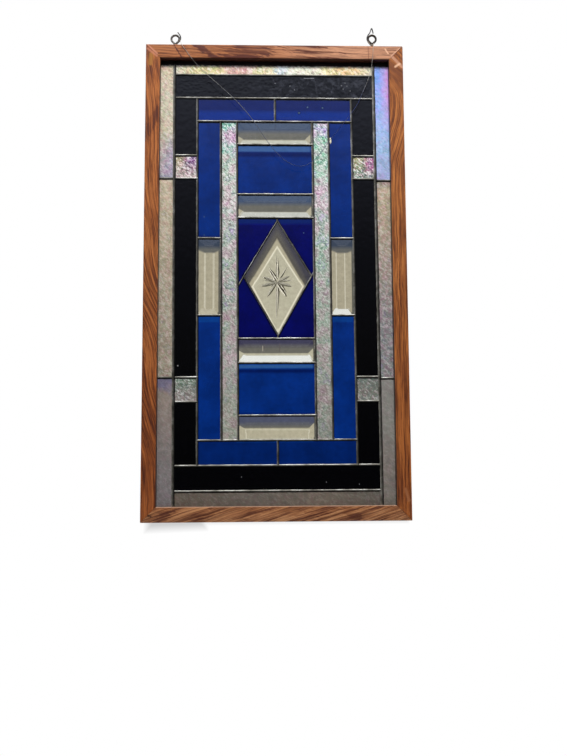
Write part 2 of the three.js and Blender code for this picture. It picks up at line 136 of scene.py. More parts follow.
def copy_of(node, name):
    """A copy of a solid's mesh with its corners merged, to be shaped further."""
    piece = bpy.data.objects.new(name, nodes[node].data.copy())
    bpy.context.collection.objects.link(piece)
    piece.data.materials.clear()
    only(piece)
    bpy.ops.object.mode_set(mode="EDIT")
    bpy.ops.mesh.select_all(action="SELECT")
    bpy.ops.mesh.remove_doubles(threshold=0.01 * MM)
    bpy.ops.mesh.dissolve_limited(angle_limit=math.radians(0.5))
    bpy.ops.object.mode_set(mode="OBJECT")
    return piece


def swept(name, routes, radius, profile=None, resolution=3):
    """Tubes, or bars of a given section, along routes of (point, thickness) in the window's plane."""
    curve = bpy.data.curves.new(name, "CURVE")
    curve.dimensions = "3D"
    curve.twist_mode = "Z_UP"
    curve.use_fill_caps = True
    if profile is None:
        curve.bevel_depth = radius
        curve.bevel_resolution = resolution
    else:
        curve.bevel_mode = "OBJECT"
        curve.bevel_object = profile
    for route in routes:
        spline = curve.splines.new("POLY")
        spline.points.add(len(route) - 1)
        for point, (place, thickness) in zip(spline.points, route):
            point.co = (place[0], place[1], place[2], 1)
            point.radius = thickness
    piece = bpy.data.objects.new(name, curve)
    bpy.context.collection.objects.link(piece)
    only(piece)
    bpy.ops.object.convert(target="MESH")
    return bpy.context.object


def put_right(piece):
    """Merges doubles and turns every face outwards."""
    only(piece)
    bpy.ops.object.mode_set(mode="EDIT")
    bpy.ops.mesh.select_all(action="SELECT")
    bpy.ops.mesh.remove_doubles(threshold=0.002 * MM)
    bpy.ops.mesh.normals_make_consistent(inside=False)
    bpy.ops.object.mode_set(mode="OBJECT")


def finished(piece, material, slot, *replaced, smooth=None):
    piece.data.materials.clear()
    piece.data.materials.append(material)
    if smooth is not None:
        only(piece)
        bpy.ops.object.shade_smooth_by_angle(angle=math.radians(smooth))
    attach(piece, "root")
    if replaced:
        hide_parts(*replaced)
    return piece


# Small tools for materials

def add(tree, kind, inputs=None, **settings):
    made = tree.nodes.new(kind)
    for name, value in settings.items():
        setattr(made, name, value)
    for name, value in (inputs or {}).items():
        socket = made.inputs[name]
        if isinstance(value, bpy.types.NodeSocket):
            tree.links.new(value, socket)
        else:
            socket.default_value = value
    return made


def calc(tree, operation, *values, clamp=False):
    made = add(tree, "ShaderNodeMath", dict(enumerate(values)), operation=operation, use_clamp=clamp)
    return made.outputs[0]


def blend(tree, factor, first, second, mode="MIX"):
    made = tree.nodes.new("ShaderNodeMix")
    made.data_type = "RGBA"
    made.blend_type = mode
    for index, value in ((0, factor), (6, first), (7, second)):
        if isinstance(value, bpy.types.NodeSocket):
            tree.links.new(value, made.inputs[index])
        else:
            made.inputs[index].default_value = value if index == 0 else (*value[:3], 1)
    return made.outputs[2]


def ramp(tree, factor, stops, interpolation="LINEAR"):
    made = add(tree, "ShaderNodeValToRGB", {"Fac": factor})
    made.color_ramp.interpolation = interpolation
    elements = made.color_ramp.elements
    while len(elements) < len(stops):
        elements.new(0.5)
    for element, (place, colour) in zip(elements, stops):
        element.position = place
        element.color = (*colour, 1) if len(colour) == 3 else colour
    return made.outputs["Color"]


def grey(value):
    return (value, value, value)


def rgb(red, green, blue):
    """A colour from its 0 to 255 screen values."""
    def linear(value):
        share = value / 255
        return share / 12.92 if share <= 0.04045 else ((share + 0.055) / 1.055) ** 2.4
    return (linear(red), linear(green), linear(blue))


def spread(tree, value, start, end, first=0.0, last=1.0):
    made = add(tree, "ShaderNodeMapRange", {
        "Value": value, "From Min": start, "From Max": end, "To Min": first, "To Max": last,
    })
    return made.outputs["Result"]


def speckle(tree, vector, scale, detail=2.0, roughness=0.5, distortion=0.0):
    made = add(tree, "ShaderNodeTexNoise", {
        "Vector": vector, "Scale": scale, "Detail": detail,
        "Roughness": roughness, "Distortion": distortion,
    })
    return made.outputs


def place_of(tree):
    return add(tree, "ShaderNodeTexCoord").outputs["Object"]


def axes_of(tree):
    return add(tree, "ShaderNodeSeparateXYZ", {"Vector": place_of(tree)}).outputs


def new_material(name, **values):
    material = bpy.data.materials.new(name)
    material.use_nodes = True
    tree = material.node_tree
    tree.nodes.clear()
    shader = add(tree, "ShaderNodeBsdfPrincipled", {key: value for key, value in values.items()})
    output = add(tree, "ShaderNodeOutputMaterial")
    tree.links.new(shader.outputs["BSDF"], output.inputs["Surface"])
    return material, tree, shader


def plug(tree, value, shader, socket):
    tree.links.new(value, shader.inputs[socket])


def spots(tree, places, radius):
    """A mask of small round marks, at places given as (x, z) in millimetres on the frame."""
    axes = axes_of(tree)
    mask = None
    for px, pz in places:
        aside = calc(tree, "SUBTRACT", axes["X"], MIDDLE_X + px * MM)
        above = calc(tree, "SUBTRACT", axes["Z"], FRAME_TOP + pz * MM)
        square = calc(tree, "ADD", calc(tree, "MULTIPLY", aside, aside), calc(tree, "MULTIPLY", above, above))
        spot = spread(tree, calc(tree, "SQRT", square), radius, radius * 0.5)
        mask = spot if mask is None else calc(tree, "MAXIMUM", mask, spot)
    return mask


LIP_SHADE_EDGE = -30.8


def painted_lip_shadow(tree, colour):
    """Paints the shadow that the top rail's lip casts: blackens what lies just under it."""
    height = calc(tree, "ADD", axes_of(tree)["Z"], spread(
        tree, speckle(tree, place_of(tree), 260, 3)["Fac"], 0.3, 0.7, -0.9 * MM, 0.9 * MM,
    ))
    edge = FRAME_TOP + LIP_SHADE_EDGE * MM
    return blend(tree, spread(tree, height, edge - 0.5 * MM, edge + 1.2 * MM), colour, rgb(24, 20, 20))


def bump(tree, height, distance, strength=1.0):
    made = add(tree, "ShaderNodeBump", {"Height": height, "Distance": distance, "Strength": strength})
    return made.outputs["Normal"]


def new_group(name, inputs, outputs):
    """An effect with named sockets. Returns its tree, its inputs and its output node."""
    tree = bpy.data.node_groups.new(name, "ShaderNodeTree")
    for socket, kind, value in inputs:
        made = tree.interface.new_socket(socket, in_out="INPUT", socket_type=kind)
        if value is not None:
            made.default_value = value
    for socket, kind in outputs:
        tree.interface.new_socket(socket, in_out="OUTPUT", socket_type=kind)
    return tree, tree.nodes.new("NodeGroupInput").outputs, tree.nodes.new("NodeGroupOutput").inputs


def use_group(tree, group, values):
    made = tree.nodes.new("ShaderNodeGroup")
    made.node_tree = group
    for name, value in values.items():
        if isinstance(value, bpy.types.NodeSocket):
            tree.links.new(value, made.inputs[name])
        else:
            made.inputs[name].default_value = value
    return made.outputs


FLOAT = "NodeSocketFloat"
COLOUR = "NodeSocketColor"
VECTOR = "NodeSocketVector"


# Hanging line and its knots

def line_material():
    """Clear line painted to look dull against the sky and bright against the glass, and lost on the right."""
    material, tree, shader = new_material("clear nylon line", Roughness=0.3, IOR=1.53)
    shader.inputs["Transmission Weight"].default_value = 0.3
    axes = axes_of(tree)
    # Painted by height: the blue and greys seen through the line, and a painted highlight near the top.
    colour = ramp(tree, spread(tree, axes["Z"], -0.24, 0.02), [
        (0.12, rgb(52, 62, 104)), (0.3, rgb(96, 100, 112)), (0.55, rgb(136, 136, 136)),
        (0.8, rgb(160, 156, 150)), (0.86, rgb(226, 218, 204)), (0.92, rgb(70, 66, 62)),
    ])
    # Painted blue of the glass behind, where the line is lost against it on the right.
    lost = calc(tree, "MULTIPLY", spread(tree, axes["X"], 0.05, 0.065), spread(tree, axes["Z"], -0.085, -0.115))
    plug(tree, blend(tree, lost, colour, rgb(34, 46, 104)), shader, "Base Color")
    return material


LINE_DIAMETER = 0.8 * MM
LINE_ROUTE = [
    (-0.1602, -0.0025, -0.0055), (-0.1592, -0.0076, -0.0088), (-0.1576, -0.0122, -0.0142),
    (-0.1556, -0.0130, -0.0198), (-0.1476, -0.0127, -0.0313), (-0.1376, -0.0127, -0.0452),
    (-0.1270, -0.0127, -0.0578), (-0.1120, -0.0127, -0.0726), (-0.0910, -0.0127, -0.0916),
    (-0.0686, -0.0127, -0.1126), (-0.0496, -0.0127, -0.1334), (-0.0344, -0.0127, -0.1530),
    (-0.0212, -0.0127, -0.1734), (-0.0080, -0.0127, -0.1928), (0.0074, -0.0127, -0.2110),
    (0.0254, -0.0127, -0.2250), (0.0441, -0.0127, -0.2297), (0.0614, -0.0127, -0.2230),
    (0.0774, -0.0127, -0.2066), (0.0930, -0.0127, -0.1847), (0.1084, -0.0127, -0.1648),
    (0.1244, -0.0127, -0.1442), (0.1404, -0.0127, -0.1206), (0.1501, -0.0127, -0.0983),
    (0.1580, -0.0127, -0.0796), (0.1632, -0.0127, -0.0624), (0.1666, -0.0127, -0.0426),
    (0.1682, -0.0130, -0.0220), (0.1690, -0.0122, -0.0152), (0.1697, -0.0076, -0.0114),
    (0.1698, -0.0031, -0.0101),
]


def make_line(material):
    curve = bpy.data.curves.new("nylon_line", "CURVE")
    curve.dimensions = "3D"
    curve.bevel_depth = LINE_DIAMETER / 2
    curve.bevel_resolution = 2
    curve.resolution_u = 6
    curve.use_fill_caps = True
    spline = curve.splines.new("BEZIER")
    spline.bezier_points.add(len(LINE_ROUTE) - 1)
    for point, place in zip(spline.bezier_points, LINE_ROUTE):
        point.co = place
        point.handle_left_type = "AUTO"
        point.handle_right_type = "AUTO"
    line = bpy.data.objects.new("nylon_line", curve)
    bpy.context.collection.objects.link(line)
    curve.materials.append(material)
    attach(line, "root")
    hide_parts("hanging_line")
    return line


def ring_centre(node):
    """The middle of a screw eye's ring, from the top and the width of its solid."""
    box_low, box_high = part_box(node)
    reach = (box_high.x - box_low.x) / 2
    return Vector(((box_low.x + box_high.x) / 2, 0, box_high.z - reach))


EYE_WIRE = high("screw_eye_left").y - low("screw_eye_left").y
EYE_RADIUS = (high("screw_eye_left").x - low("screw_eye_left").x - EYE_WIRE) / 2
EYE_TIP = EYE_RADIUS * math.sqrt(2)


def wrapping(centre, axis, turns, steps=14):
    """A line wound tightly round a wire that runs along axis."""
    across = Vector((0, 1, 0))
    outwards = axis.cross(across)
    reach = EYE_WIRE / 2 + LINE_DIAMETER * 0.55
    route = []
    for i in range(int(turns * steps) + 1):
        turn = 2 * math.pi * i / steps
        slide = (i / steps - turns / 2) * LINE_DIAMETER * 1.05
        place = centre + axis * slide + (outwards * math.cos(turn) + across * math.sin(turn)) * reach
        route.append((place, 1.0))
    return route


TAIL_THICKNESS = 2.4


def smooth_route(points, steps=6):
    """More points on a soft curve through the given ones, for a tail that is frayed thicker."""
    places = [Vector(p) for p in points]
    places = [places[0] * 2 - places[1], *places, places[-1] * 2 - places[-2]]
    route = []
    for a, b, c, d in zip(places, places[1:], places[2:], places[3:]):
        for i in range(steps):
            t = i / steps
            route.append(0.5 * (
                2 * b + (c - a) * t + (2 * a - 5 * b + 4 * c - d) * t * t + (3 * b - a - 3 * c + d) * t ** 3
            ))
    return [(place, TAIL_THICKNESS) for place in [*route, places[-2]]]


LEFT_TAIL = [(8.3, -1.2, -3.0), (9.2, -1.9, -0.4), (9.0, -2.1, 3.2), (7.4, -2.1, 6.6), (4.4, -1.4, 10.8)]
RIGHT_TAIL = [
    (-2.0, -0.8, -11.4), (-4.0, -1.9, -10.2), (-7.2, -2.2, -6.2), (-8.9, -2.2, -0.6),
    (-7.4, -2.2, 4.8), (-4.0, -1.6, 10.2), (-2.0, -0.6, 15.4), (-0.9, -0.2, 18.8),
    (0.3, -0.2, 18.4), (1.4, -0.2, 14.2), (2.2, -0.2, 10.4),
]
LEFT_KNOT_ANGLE = math.radians(-25)
KNOT_UNDER_TIP = 2 * MM


def make_knot(name, node, eye, place, axis, tail, material):
    middle = ring_centre(eye)
    tail_route = smooth_route([middle + Vector(p) * MM for p in tail])
    routes = [wrapping(middle + place, axis, 3), tail_route]
    knot = swept(name, routes, LINE_DIAMETER / 2)
    put_right(knot)
    return finished(knot, material, "clear_line", node, smooth=50)


def make_hanging():
    material = line_material()
    line = make_line(material)
    cos, sin = math.cos(LEFT_KNOT_ANGLE), math.sin(LEFT_KNOT_ANGLE)
    left_knot = make_knot(
        "left_knot", "line_knot_left", "screw_eye_left",
        Vector((cos, 0, sin)) * EYE_RADIUS, Vector((-sin, 0, cos)), LEFT_TAIL, material,
    )
    right_knot = make_knot(
        "right_knot", "line_knot_right", "screw_eye_right",
        Vector((0, 0, -EYE_TIP - KNOT_UNDER_TIP)), Vector((0, 0, 1)), RIGHT_TAIL, material,
    )


make_hanging()


# Screw eyes

def eye_material(name, dark, light):
    material, tree, shader = new_material(name, Metallic=0.3, Roughness=0.45)
    blotch = speckle(tree, place_of(tree), 420, 4, 0.6)["Fac"]
    plug(tree, ramp(tree, blotch, [(0.35, dark), (0.65, light)]), shader, "Base Color")
    plug(tree, spread(tree, blotch, 0.3, 0.8, 0.3, 0.6), shader, "Roughness")
    plug(tree, bump(tree, blotch, 0.1 * MM, 0.5), shader, "Normal")
    return material


def make_eye(name, node, material):
    """A wire ring drawn to a point under it, with its shank and a screw thread below."""
    centre = ring_centre(node)
    bottom = low(node).z
    leg = 1.5 * MM / math.sqrt(2)
    ring = [centre + Vector((leg, 0, leg - EYE_TIP))]
    turns = 40
    for i in range(turns + 1):
        angle = -math.pi / 4 + 1.5 * math.pi * i / turns
        ring.append(centre + Vector((math.cos(angle), 0, math.sin(angle))) * EYE_RADIUS)
    ring.append(centre + Vector((-leg, 0, leg - EYE_TIP)))
    shank_top = centre.z - EYE_TIP + EYE_WIRE * 0.75
    shank = [
        (Vector((centre.x, 0, bottom)), 0.05),
        (Vector((centre.x, 0, bottom + EYE_WIRE)), 0.8),
        (Vector((centre.x, 0, FRAME_TOP - 1 * MM)), 0.8),
        (Vector((centre.x, 0, FRAME_TOP + 1 * MM)), 1.0),
        (Vector((centre.x, 0, shank_top)), 1.0),
    ]
    thread = []
    for i in range(141):
        turn = 2 * math.pi * i / 14
        reach = EYE_WIRE * 0.4
        thread.append((Vector((
            centre.x + reach * math.cos(turn),
            reach * math.sin(turn),
            bottom + EYE_WIRE + (FRAME_TOP - 2 * MM - bottom - EYE_WIRE) * i / 140,
        )), 0.2))
    eye = swept(name, [[(p, 1.3) for p in ring], shank, thread], EYE_WIRE / 2, resolution=4)
    put_right(eye)
    return finished(eye, material, "dark_steel", node, smooth=45)


def make_eyes():
    worn = eye_material("worn grey wire", rgb(70, 66, 62), rgb(168, 164, 158))
    dark = eye_material("dark bronzed wire", rgb(36, 30, 26), rgb(86, 76, 66))
    make_eye("left_screw_eye", "screw_eye_left", worn)
    make_eye("right_screw_eye", "screw_eye_right", dark)


make_eyes()


# Oak frame

def oak_group():
    """Strands, dark grain lines and pores along a board. Along and Across are in metres."""
    tree, given, result = new_group("oak figure", [
        ("Along", FLOAT, 0.0), ("Across", FLOAT, 0.0), ("Depth", FLOAT, 0.0),
        ("Slant", FLOAT, 0.0), ("Streak Width", FLOAT, 1.0), ("Dark Share", FLOAT, 0.5),
        ("Light", COLOUR, None), ("Middle", COLOUR, None), ("Dark", COLOUR, None),
    ], [("Color", COLOUR), ("Height", FLOAT), ("Roughness", FLOAT)])
    along, across, depth = given["Along"], given["Across"], given["Depth"]
    wander = speckle(tree, add(tree, "ShaderNodeCombineXYZ", {"X": along}).outputs[0], 11, 3)["Fac"]
    shifted = calc(tree, "ADD", across, calc(tree, "MULTIPLY", along, given["Slant"]))
    shifted = calc(tree, "ADD", shifted, calc(tree, "MULTIPLY", wander, 0.009))
    shifted = calc(tree, "DIVIDE", shifted, given["Streak Width"])

    def board(length, width):
        return add(tree, "ShaderNodeCombineXYZ", {
            "X": calc(tree, "MULTIPLY", along, 1 / length),
            "Y": calc(tree, "MULTIPLY", shifted, 1 / width),
            "Z": calc(tree, "MULTIPLY", depth, 1 / width),
        }).outputs[0]

    strands = speckle(tree, board(60 * MM, 2.2 * MM), 1.0, 4, 0.7, 0.4)["Fac"]
    broad = speckle(tree, board(85 * MM, 6.5 * MM), 1.0, 2, 0.5, 0.8)["Fac"]
    figure = calc(tree, "ADD", calc(tree, "MULTIPLY", strands, 0.62), calc(tree, "MULTIPLY", broad, 0.38))
    bright = calc(tree, "SUBTRACT", calc(tree, "ADD", figure, 0.5), given["Dark Share"])
    colour = blend(tree, spread(tree, bright, 0.41, 0.48), given["Dark"], given["Middle"])
    colour = blend(tree, spread(tree, bright, 0.51, 0.58), colour, given["Light"])
    lines = speckle(tree, board(170 * MM, 2.0 * MM), 1.0, 2, 0.5, 0.2)["Fac"]
    lines = calc(tree, "MULTIPLY", spread(tree, lines, 0.51, 0.58), spread(tree, bright, 0.8, 0.5))
    colour = blend(tree, calc(tree, "MULTIPLY", lines, 0.72), colour, rgb(82, 36, 18))
    pores = spread(tree, speckle(tree, board(9 * MM, 0.9 * MM), 1.0, 2, 0.6)["Fac"], 0.56, 0.7)
    colour = blend(tree, calc(tree, "MULTIPLY", pores, 0.4), colour, rgb(64, 30, 18))
    tree.links.new(colour, result["Color"])
    tree.links.new(calc(tree, "SUBTRACT", calc(tree, "MULTIPLY", strands, 0.4), pores), result["Height"])
    tree.links.new(spread(tree, figure, 0.3, 0.7, 0.55, 0.4), result["Roughness"])
    return tree


OAK_FIGURE = oak_group()


# The edge of each rail that looks at the glass: the axis of its normal, where the tone starts and is full, and the
# tone:
# painted shade on the top rail's underside and the stiles' inner sides, and a painted highlight along the bottom
# rail's upper edge.
RAIL_EDGE_SHADE_AND_HIGHLIGHT = {
    "top_rail": ("Z", -0.1, -0.55, rgb(72, 30, 18)), "bottom_rail": ("Z", 0.15, 0.9, rgb(200, 160, 134)),
    "left_stile": ("X", 0.3, 0.8, rgb(66, 34, 22)), "right_stile": ("X", -0.3, -0.8, rgb(66, 34, 22)),
}


def bend(tree, along, across, bends):
    """Moves the grain sideways between two heights, so that it curves."""
    for start, end, shift in bends:
        moved = add(tree, "ShaderNodeMapRange", {
            "Value": along, "From Min": start, "From Max": end, "To Min": 0.0, "To Max": shift * MM,
        }, interpolation_type="SMOOTHSTEP")
        across = calc(tree, "SUBTRACT", across, moved.outputs["Result"])
    return across


def oak_material(
    name, node, slant, width, share, light, middle, dark, zones=(), pale_end=None, marks=(), bends=(),
):
    """zones are dark feathery stretches: where each starts and ends along the board, its strength
    and its slant. bends are where the grain drifts sideways: start, end and drift in millimetres. pale_end is the lighter wood that the board runs out to on the right. marks are
    chips and knots: their places in millimetres on the frame, their radius and their colour."""
    material, tree, shader = new_material(name)
    shader.inputs["Coat Weight"].default_value = 0.15
    shader.inputs["Coat Roughness"].default_value = 0.35
    x, y, z = (axes_of(tree)[i] for i in range(3))
    upright = node.endswith("stile")
    along, across = (z, x) if upright else (x, z)
    board_middle = (low(node) + high(node)) / 2
    darker = share
    off_centre = calc(tree, "SUBTRACT", across, board_middle.x if upright else board_middle.z)
    feather = add(tree, "ShaderNodeCombineXYZ", {
        "X": calc(tree, "MULTIPLY", along, 45),
        "Y": calc(tree, "MULTIPLY", calc(tree, "ADD", across, calc(tree, "MULTIPLY", along, 0.2)), 300),
    }).outputs[0]
    torn = speckle(tree, feather, 1.0, 4, 0.65, 0.5)["Fac"]
    for start, end, strength, zone_slant in zones:
        reach = abs(end - start) / 2
        along_slant = calc(tree, "ADD", along, calc(tree, "MULTIPLY", off_centre, zone_slant))
        distance = calc(tree, "ABSOLUTE", calc(tree, "SUBTRACT", along_slant, (start + end) / 2))
        ragged = calc(tree, "ADD", distance, spread(tree, torn, 0.3, 0.7, reach * 0.8, -reach * 0.8))
        inside = spread(tree, ragged, reach, reach * 0.75)
        darker = calc(tree, "ADD", darker, calc(tree, "MULTIPLY", inside, strength))
    light, middle = (*light, 1), (*middle, 1)
    if pale_end:
        share_right = spread(tree, x, -0.05, 0.12)
        light = blend(tree, share_right, light, pale_end)
        middle = blend(tree, share_right, middle, tuple(c * 0.78 for c in pale_end))
    figure = use_group(tree, OAK_FIGURE, {
        "Along": along, "Across": bend(tree, along, across, bends), "Depth": y,
        "Slant": slant, "Streak Width": width,
        "Dark Share": darker, "Light": light, "Middle": middle, "Dark": (*dark, 1),
    })
    colour = figure["Color"]
    for places, radius, tone in marks:
        colour = blend(tree, calc(tree, "MULTIPLY", spots(tree, places, radius), 0.8), colour, tone)
    redder = calc(tree, "MULTIPLY", spread(tree, z, -0.42, -0.75), 1.0 if upright else 0.0)
    colour = blend(tree, redder, colour, (0.86, 0.72, 0.56), "MULTIPLY")
    normal = add(tree, "ShaderNodeSeparateXYZ", {
        "Vector": add(tree, "ShaderNodeNewGeometry").outputs["Normal"],
    }).outputs
    # Painted shade or painted highlight on the rail's inner edge, by which way it faces.
    axis, start, end, tone = RAIL_EDGE_SHADE_AND_HIGHLIGHT[node]
    colour = blend(tree, spread(tree, normal[axis], start, end), colour, tone)
    plug(tree, colour, shader, "Base Color")
    plug(tree, figure["Roughness"], shader, "Roughness")
    plug(tree, bump(tree, figure["Height"], 0.15 * MM, 0.7), shader, "Normal")
    return material


RAIL_EASE = 0.7 * MM
WORN_EASE = 2.2 * MM


def make_rail(name, node, material):
    """The solid rail with its long edges eased, and the top rail's lower front edge worn rounder."""
    rail = copy_of(node, name)
    long_edge = RAIL * 8

    def at_face(a, b):
        return min(abs(abs(a.y) - FRAME_BACK), abs(abs(b.y) - FRAME_BACK)) < 0.1 * MM

    def worn(a, b):
        inner = node == "top_rail" and max(a.z, b.z) < FRAME_TOP - RAIL * 0.9
        return inner and max(a.y, b.y) < FRAME_FRONT + 0.1 * MM and (a - b).length > long_edge

    def eased(a, b):
        return at_face(a, b) and (a - b).length > long_edge and not worn(a, b)

    select_edges(rail, eased)
    bpy.ops.mesh.bevel(offset=RAIL_EASE, segments=3, affect="EDGES")
    bpy.ops.object.mode_set(mode="OBJECT")
    if node == "top_rail":
        select_edges(rail, worn)
        bpy.ops.mesh.bevel(offset=WORN_EASE, segments=4, affect="EDGES")
        bpy.ops.object.mode_set(mode="OBJECT")
    return finished(rail, material, "oak", node, smooth=30)


CHIPPED = rgb(236, 190, 156)


def stroke(start, end, count):
    """Places in a row, close enough for their spots to run together."""
    (x1, z1), (x2, z2) = start, end
    return [(x1 + (x2 - x1) * i / (count - 1), z1 + (z2 - z1) * i / (count - 1)) for i in range(count)]


def make_frame():
    top = oak_material(
        "oak top rail", "top_rail", 0.05, 1.3, 0.43,
        rgb(176, 114, 72), rgb(148, 90, 56), rgb(90, 46, 34),
        zones=[
            (-0.1635, -0.1605, 0.2, 0.6), (-0.16, -0.148, 0.06, 0.0), (-0.123, -0.106, 0.18, 1.5),
            (-0.086, 0.0, 0.16, -1.0), (0.032, 0.108, 0.12, 2.2),
        ],
        pale_end=rgb(202, 148, 116),
        marks=[
            (stroke((158.2, 0), (158.6, -23), 20), 0.8 * MM, rgb(112, 62, 42)),
            (stroke((187, -5), (192, -13), 7), 1.7 * MM, CHIPPED),
            (stroke((198, -17), (212, -4), 8), 2.2 * MM, rgb(222, 170, 142)),
            (stroke((-214, -2), (-199, -16), 9), 2.6 * MM, rgb(200, 136, 110)),
        ],
    )
    bottom = oak_material(
        "oak bottom rail", "bottom_rail", -0.3, 1.2, 0.47,
        rgb(196, 138, 92), rgb(162, 104, 64), rgb(100, 54, 36),
        zones=[
            (-0.188, -0.165, 0.07, -0.6), (-0.12, -0.095, 0.07, -1.6), (-0.03, 0.02, 0.06, -2.6),
            (0.04, 0.085, 0.07, -2.6), (0.108, 0.135, 0.06, 0.9), (0.165, 0.19, 0.02, -1.0),
        ],
        marks=[([(-203.5, -783), (-200.5, -784)], 2.4 * MM, rgb(58, 30, 20))],
    )
    left = oak_material(
        "oak left stile", "left_stile", 0.03, 1.0, 0.47,
        rgb(186, 114, 62), rgb(148, 84, 42), rgb(90, 46, 30),
        zones=[(-0.09, -0.045, 0.05, -0.8), (-0.172, -0.14, 0.08, -1.5), (-0.7, -0.56, 0.05, 2.0)],
        marks=[
            (stroke((-208, -18), (-209, -34), 6), 4.5 * MM, rgb(168, 116, 54)),
            (stroke((-214, -8), (-199, -20), 8), 2.6 * MM, rgb(194, 128, 100)),
        ],
        bends=[(-0.02, -0.12, 8), (-0.27, -0.36, 12), (-0.37, -0.56, 52), (-0.57, -0.74, 34)],
    )
    right = oak_material(
        "oak right stile", "right_stile", 0.0, 1.0, 0.47,
        rgb(188, 118, 62), rgb(148, 86, 43), rgb(92, 48, 27),
        zones=[(-0.094, -0.03, 0.06, 1.0), (-0.16, -0.11, 0.03, 1.0)],
        marks=[
            (stroke((200, -20), (215, -36), 8), 3.4 * MM, rgb(206, 152, 122)),
            (stroke((204, -36), (211, -31), 5), 2.6 * MM, CHIPPED),
            (stroke((207, -744), (212, -762), 8), 3.2 * MM, rgb(176, 120, 84)),
        ],
        bends=[(-0.01, -0.11, 84), (-0.11, -0.25, -26)],
    )
    make_rail("oak_top_rail", "top_rail", top)
    make_rail("oak_bottom_rail", "bottom_rail", bottom)
    make_rail("oak_left_stile", "left_stile", left)
    make_rail("oak_right_stile", "right_stile", right)


make_frame()


# Solder seams

SEAM_GAP = seam_side("black_upper_left", "blue_side_upper_left") - high("black_upper_left").x
BEAD_HALF = 2.0 * MM
BEAD_RISE = 1.0 * MM
BEAD_FOOT = GLASS_BACK + 0.05 * MM
WEB_HALF = 0.4 * MM


def solder_material():
    """Painted light and shade by which way the bead faces: bright along the upper side, dull at the sides and black
    underneath.
    """
    material, tree, shader = new_material("dull solder", Metallic=0.6)
    place = place_of(tree)
    patina = speckle(tree, place, 42, 5, 0.65)["Fac"]
    pits = speckle(tree, place, 500, 3, 0.6)["Fac"]
    normal = add(tree, "ShaderNodeSeparateXYZ", {
        "Vector": add(tree, "ShaderNodeNewGeometry").outputs["Normal"],
    }).outputs
    # How far a face turns up and to the left, towards the light; it sets the painted highlight and shade below.
    up = calc(tree, "SUBTRACT", normal["Z"], calc(tree, "MULTIPLY", normal["X"], 0.7))
    colour = ramp(tree, patina, [
        (0.36, rgb(128, 124, 112)), (0.5, rgb(180, 176, 164)), (0.64, rgb(240, 238, 228)),
    ])
    colour = blend(tree, spread(tree, up, 0.12, 0.5), blend(tree, 0.72, colour, rgb(56, 55, 50)), colour)
    colour = blend(tree, spread(tree, pits, 0.55, 0.8), colour, rgb(60, 58, 52))
    # Painted black shade on the undersides of the beads.
    colour = blend(tree, spread(tree, up, 0.02, -0.24), colour, rgb(24, 23, 21))
    # Painted shadow of the top rail's lip.
    plug(tree, painted_lip_shadow(tree, colour), shader, "Base Color")
    plug(tree, spread(tree, patina, 0.36, 0.64, 0.5, 0.24), shader, "Roughness")
    plug(tree, bump(tree, pits, 0.12 * MM, 0.6), shader, "Normal")
    return material


def bead_profile():
    """Half-round beads in front and behind, joined by a thin web between the panes."""
    arc = [math.pi * i / 8 for i in range(9)]
    points = [(BEAD_HALF * math.cos(a), BEAD_FOOT + BEAD_RISE * math.sin(a)) for a in arc]
    points += [(-WEB_HALF, BEAD_FOOT), (-WEB_HALF, -BEAD_FOOT)]
    points += [(-BEAD_HALF * math.cos(a), -BEAD_FOOT - BEAD_RISE * math.sin(a)) for a in arc]
    points += [(WEB_HALF, -BEAD_FOOT), (WEB_HALF, BEAD_FOOT)]
    curve = bpy.data.curves.new("bead profile", "CURVE")
    curve.dimensions = "2D"
    spline = curve.splines.new("POLY")
    spline.points.add(len(points) - 1)
    for point, (u, v) in zip(spline.points, points):
        point.co = (u, v, 0, 1)
    spline.use_cyclic_u = True
    profile = bpy.data.objects.new("bead profile", curve)
    bpy.context.collection.objects.link(profile)
    return profile


